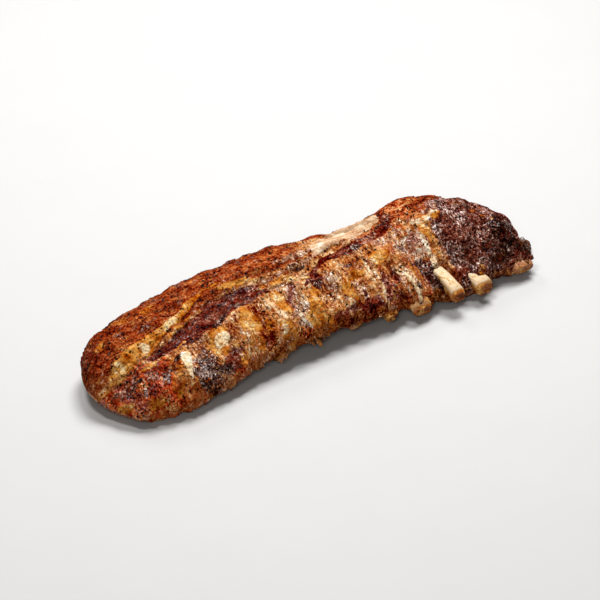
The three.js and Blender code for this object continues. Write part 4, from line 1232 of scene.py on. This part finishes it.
# colours of the small things, and how rough and how coated each is
smallColours = {
    "pepperFlecks": [(4, 2, 2), (10, 5, 4), (18, 9, 7), (34, 17, 12), (60, 32, 22)],
    "crustFlakes": [(26, 7, 5), (78, 22, 11), (132, 50, 20), (182, 90, 34), (220, 140, 68)],
    "juiceBeads": [(60, 16, 8), (130, 56, 22), (184, 112, 48), (220, 168, 100), (244, 222, 186)],
    "fibres": [(40, 9, 5), (100, 36, 14), (160, 88, 36), (210, 154, 84), (242, 216, 170)],
}
smallShine = {"pepperFlecks": (0.4, 0.05), "crustFlakes": (0.4, 0.05), "juiceBeads": (0.12, 0.8),
              "fibres": (0.3, 0.8)}


def smallThing(materialName, kind):
    # each grain or thread takes its own tone, broken up by a fine noise
    roughness, coat = smallShine[kind]
    material, tree, shader, place = newMaterial(materialName, Specular_IOR_Level=0.03, Coat_Weight=coat,
                                                Coat_Roughness=0.08)
    fine = grainOf(tree, place, 0.8, detail=2)
    value = weighed(tree, (2.0, attributeOf(tree, "tone")), (3.0, fine))
    tree.links.new(tones(tree, value, smallColours[kind]), shader.inputs["Base Color"])
    tree.links.new(calc(tree, "MULTIPLY_ADD", fine, 0.3, roughness), shader.inputs["Roughness"])
    bumpOn(tree, shader, "Normal", fine, 0.6, 0.0005)
    return material


# the stage: floor, lamps and camera, in metres, with the lens and the floor's grain in millimetres
stage = {
    "floorSize": 3.0, "floorColour": (204, 203, 201), "floorGrain": 60,
    "cameraAt": (-0.89916, -1.2553, 1.09008), "cameraForward": (0.4794, 0.6705, -0.5662),
    "rollDegrees": 0.34, "lens": 154.17, "shiftX": -6.5 / 600, "shiftY": -10.6 / 600, "clipStart": 0.1,
    "ambient": 0.07, "lightsAimAt": (0, 0, 0.02),
    # name, place, width and power of each lamp
    "lights": [("keyLight", (0.5, 0.45, 1.3), 0.65, 29), ("topLight", (-0.35, 0.15, 1.5), 0.35, 10),
               ("backLight", (0.2, 1.1, 1.0), 0.5, 6), ("fillLight", (-0.9, -1.1, 1.1), 0.5, 7.5)],
}


def buildFloor():
    # one square under the rack, pale with a faint mottle
    half, colour = stage["floorSize"] / 2, stage["floorColour"]
    mesh = bpy.data.meshes.new("floor")
    mesh.from_pydata([(-half, -half, 0), (half, -half, 0), (half, half, 0), (-half, half, 0)], [],
                     [(0, 1, 2, 3)])
    floor = bpy.data.objects.new("floor", mesh)
    bpy.context.scene.collection.objects.link(floor)
    material, tree, shader, place = newMaterial("paleFloor", Roughness=0.7)
    mottle = weighed(tree, (2.0, grainOf(tree, place, stage["floorGrain"])))
    shade = tones(tree, mottle, [tuple(c - 4 for c in colour), colour])
    tree.links.new(shade, shader.inputs["Base Color"])
    mesh.materials.append(material)


def buildLights():
    # round lamps that aim at the rack, a faint even light, and colours shown as they are
    scene = bpy.context.scene
    target = Vector(stage["lightsAimAt"])
    for name, at, width, power in stage["lights"]:
        light = bpy.data.lights.new(name, "AREA")
        light.shape, light.size, light.energy = "DISK", width, power
        lamp = bpy.data.objects.new(name, light)
        lamp.location = at
        lamp.rotation_euler = (target - Vector(at)).to_track_quat("-Z", "Y").to_euler()
        scene.collection.objects.link(lamp)
    world = bpy.data.worlds.new("studio")
    world.use_nodes = True
    background = world.node_tree.nodes["Background"]
    background.inputs["Strength"].default_value = stage["ambient"]
    background.inputs["Color"].default_value = (1, 1, 1, 1)
    scene.world = world
    scene.view_settings.view_transform = "Standard"


def buildCamera():
    # looks along cameraForward, then rolls about that line
    camera = bpy.data.objects.new("camera", bpy.data.cameras.new("camera"))
    camera.data.lens, camera.data.clip_start = stage["lens"], stage["clipStart"]
    camera.data.shift_x, camera.data.shift_y = stage["shiftX"], stage["shiftY"]
    turn = Vector(stage["cameraForward"]).to_track_quat("-Z", "Y").to_matrix().to_4x4()
    roll = Matrix.Rotation(math.radians(stage["rollDegrees"]), 4, "Z")
    camera.matrix_world = Matrix.Translation(stage["cameraAt"]) @ turn @ roll
    bpy.context.scene.collection.objects.link(camera)
    bpy.context.scene.camera = camera


buildFloor()
buildLights()
buildCamera()
print("rack: stage ready")

meatPiece, sheets = buildMeat(roastedMeat())
finishPiece(meatPiece, "roasted_meat", "meat")

boneMaterial = ribBone()
for number, bone in enumerate(bones, 1):
    finishPiece(buildBone(number, bone, boneMaterial), "bone", "rib_bone_%02d" % number)

for name, form in scattered.items():
    finishPiece(buildScatter(name, form, sheets, smallThing(name, name)), "roasted_meat")

fibreMaterial = smallThing("tornMeat", "fibres")
finishPiece(buildFibres(sheets, fibreMaterial), "roasted_meat")
finishPiece(buildScraps(fibreMaterial), "roasted_meat")
finishPiece(buildTuft(sheets, fibreMaterial), "roasted_meat")
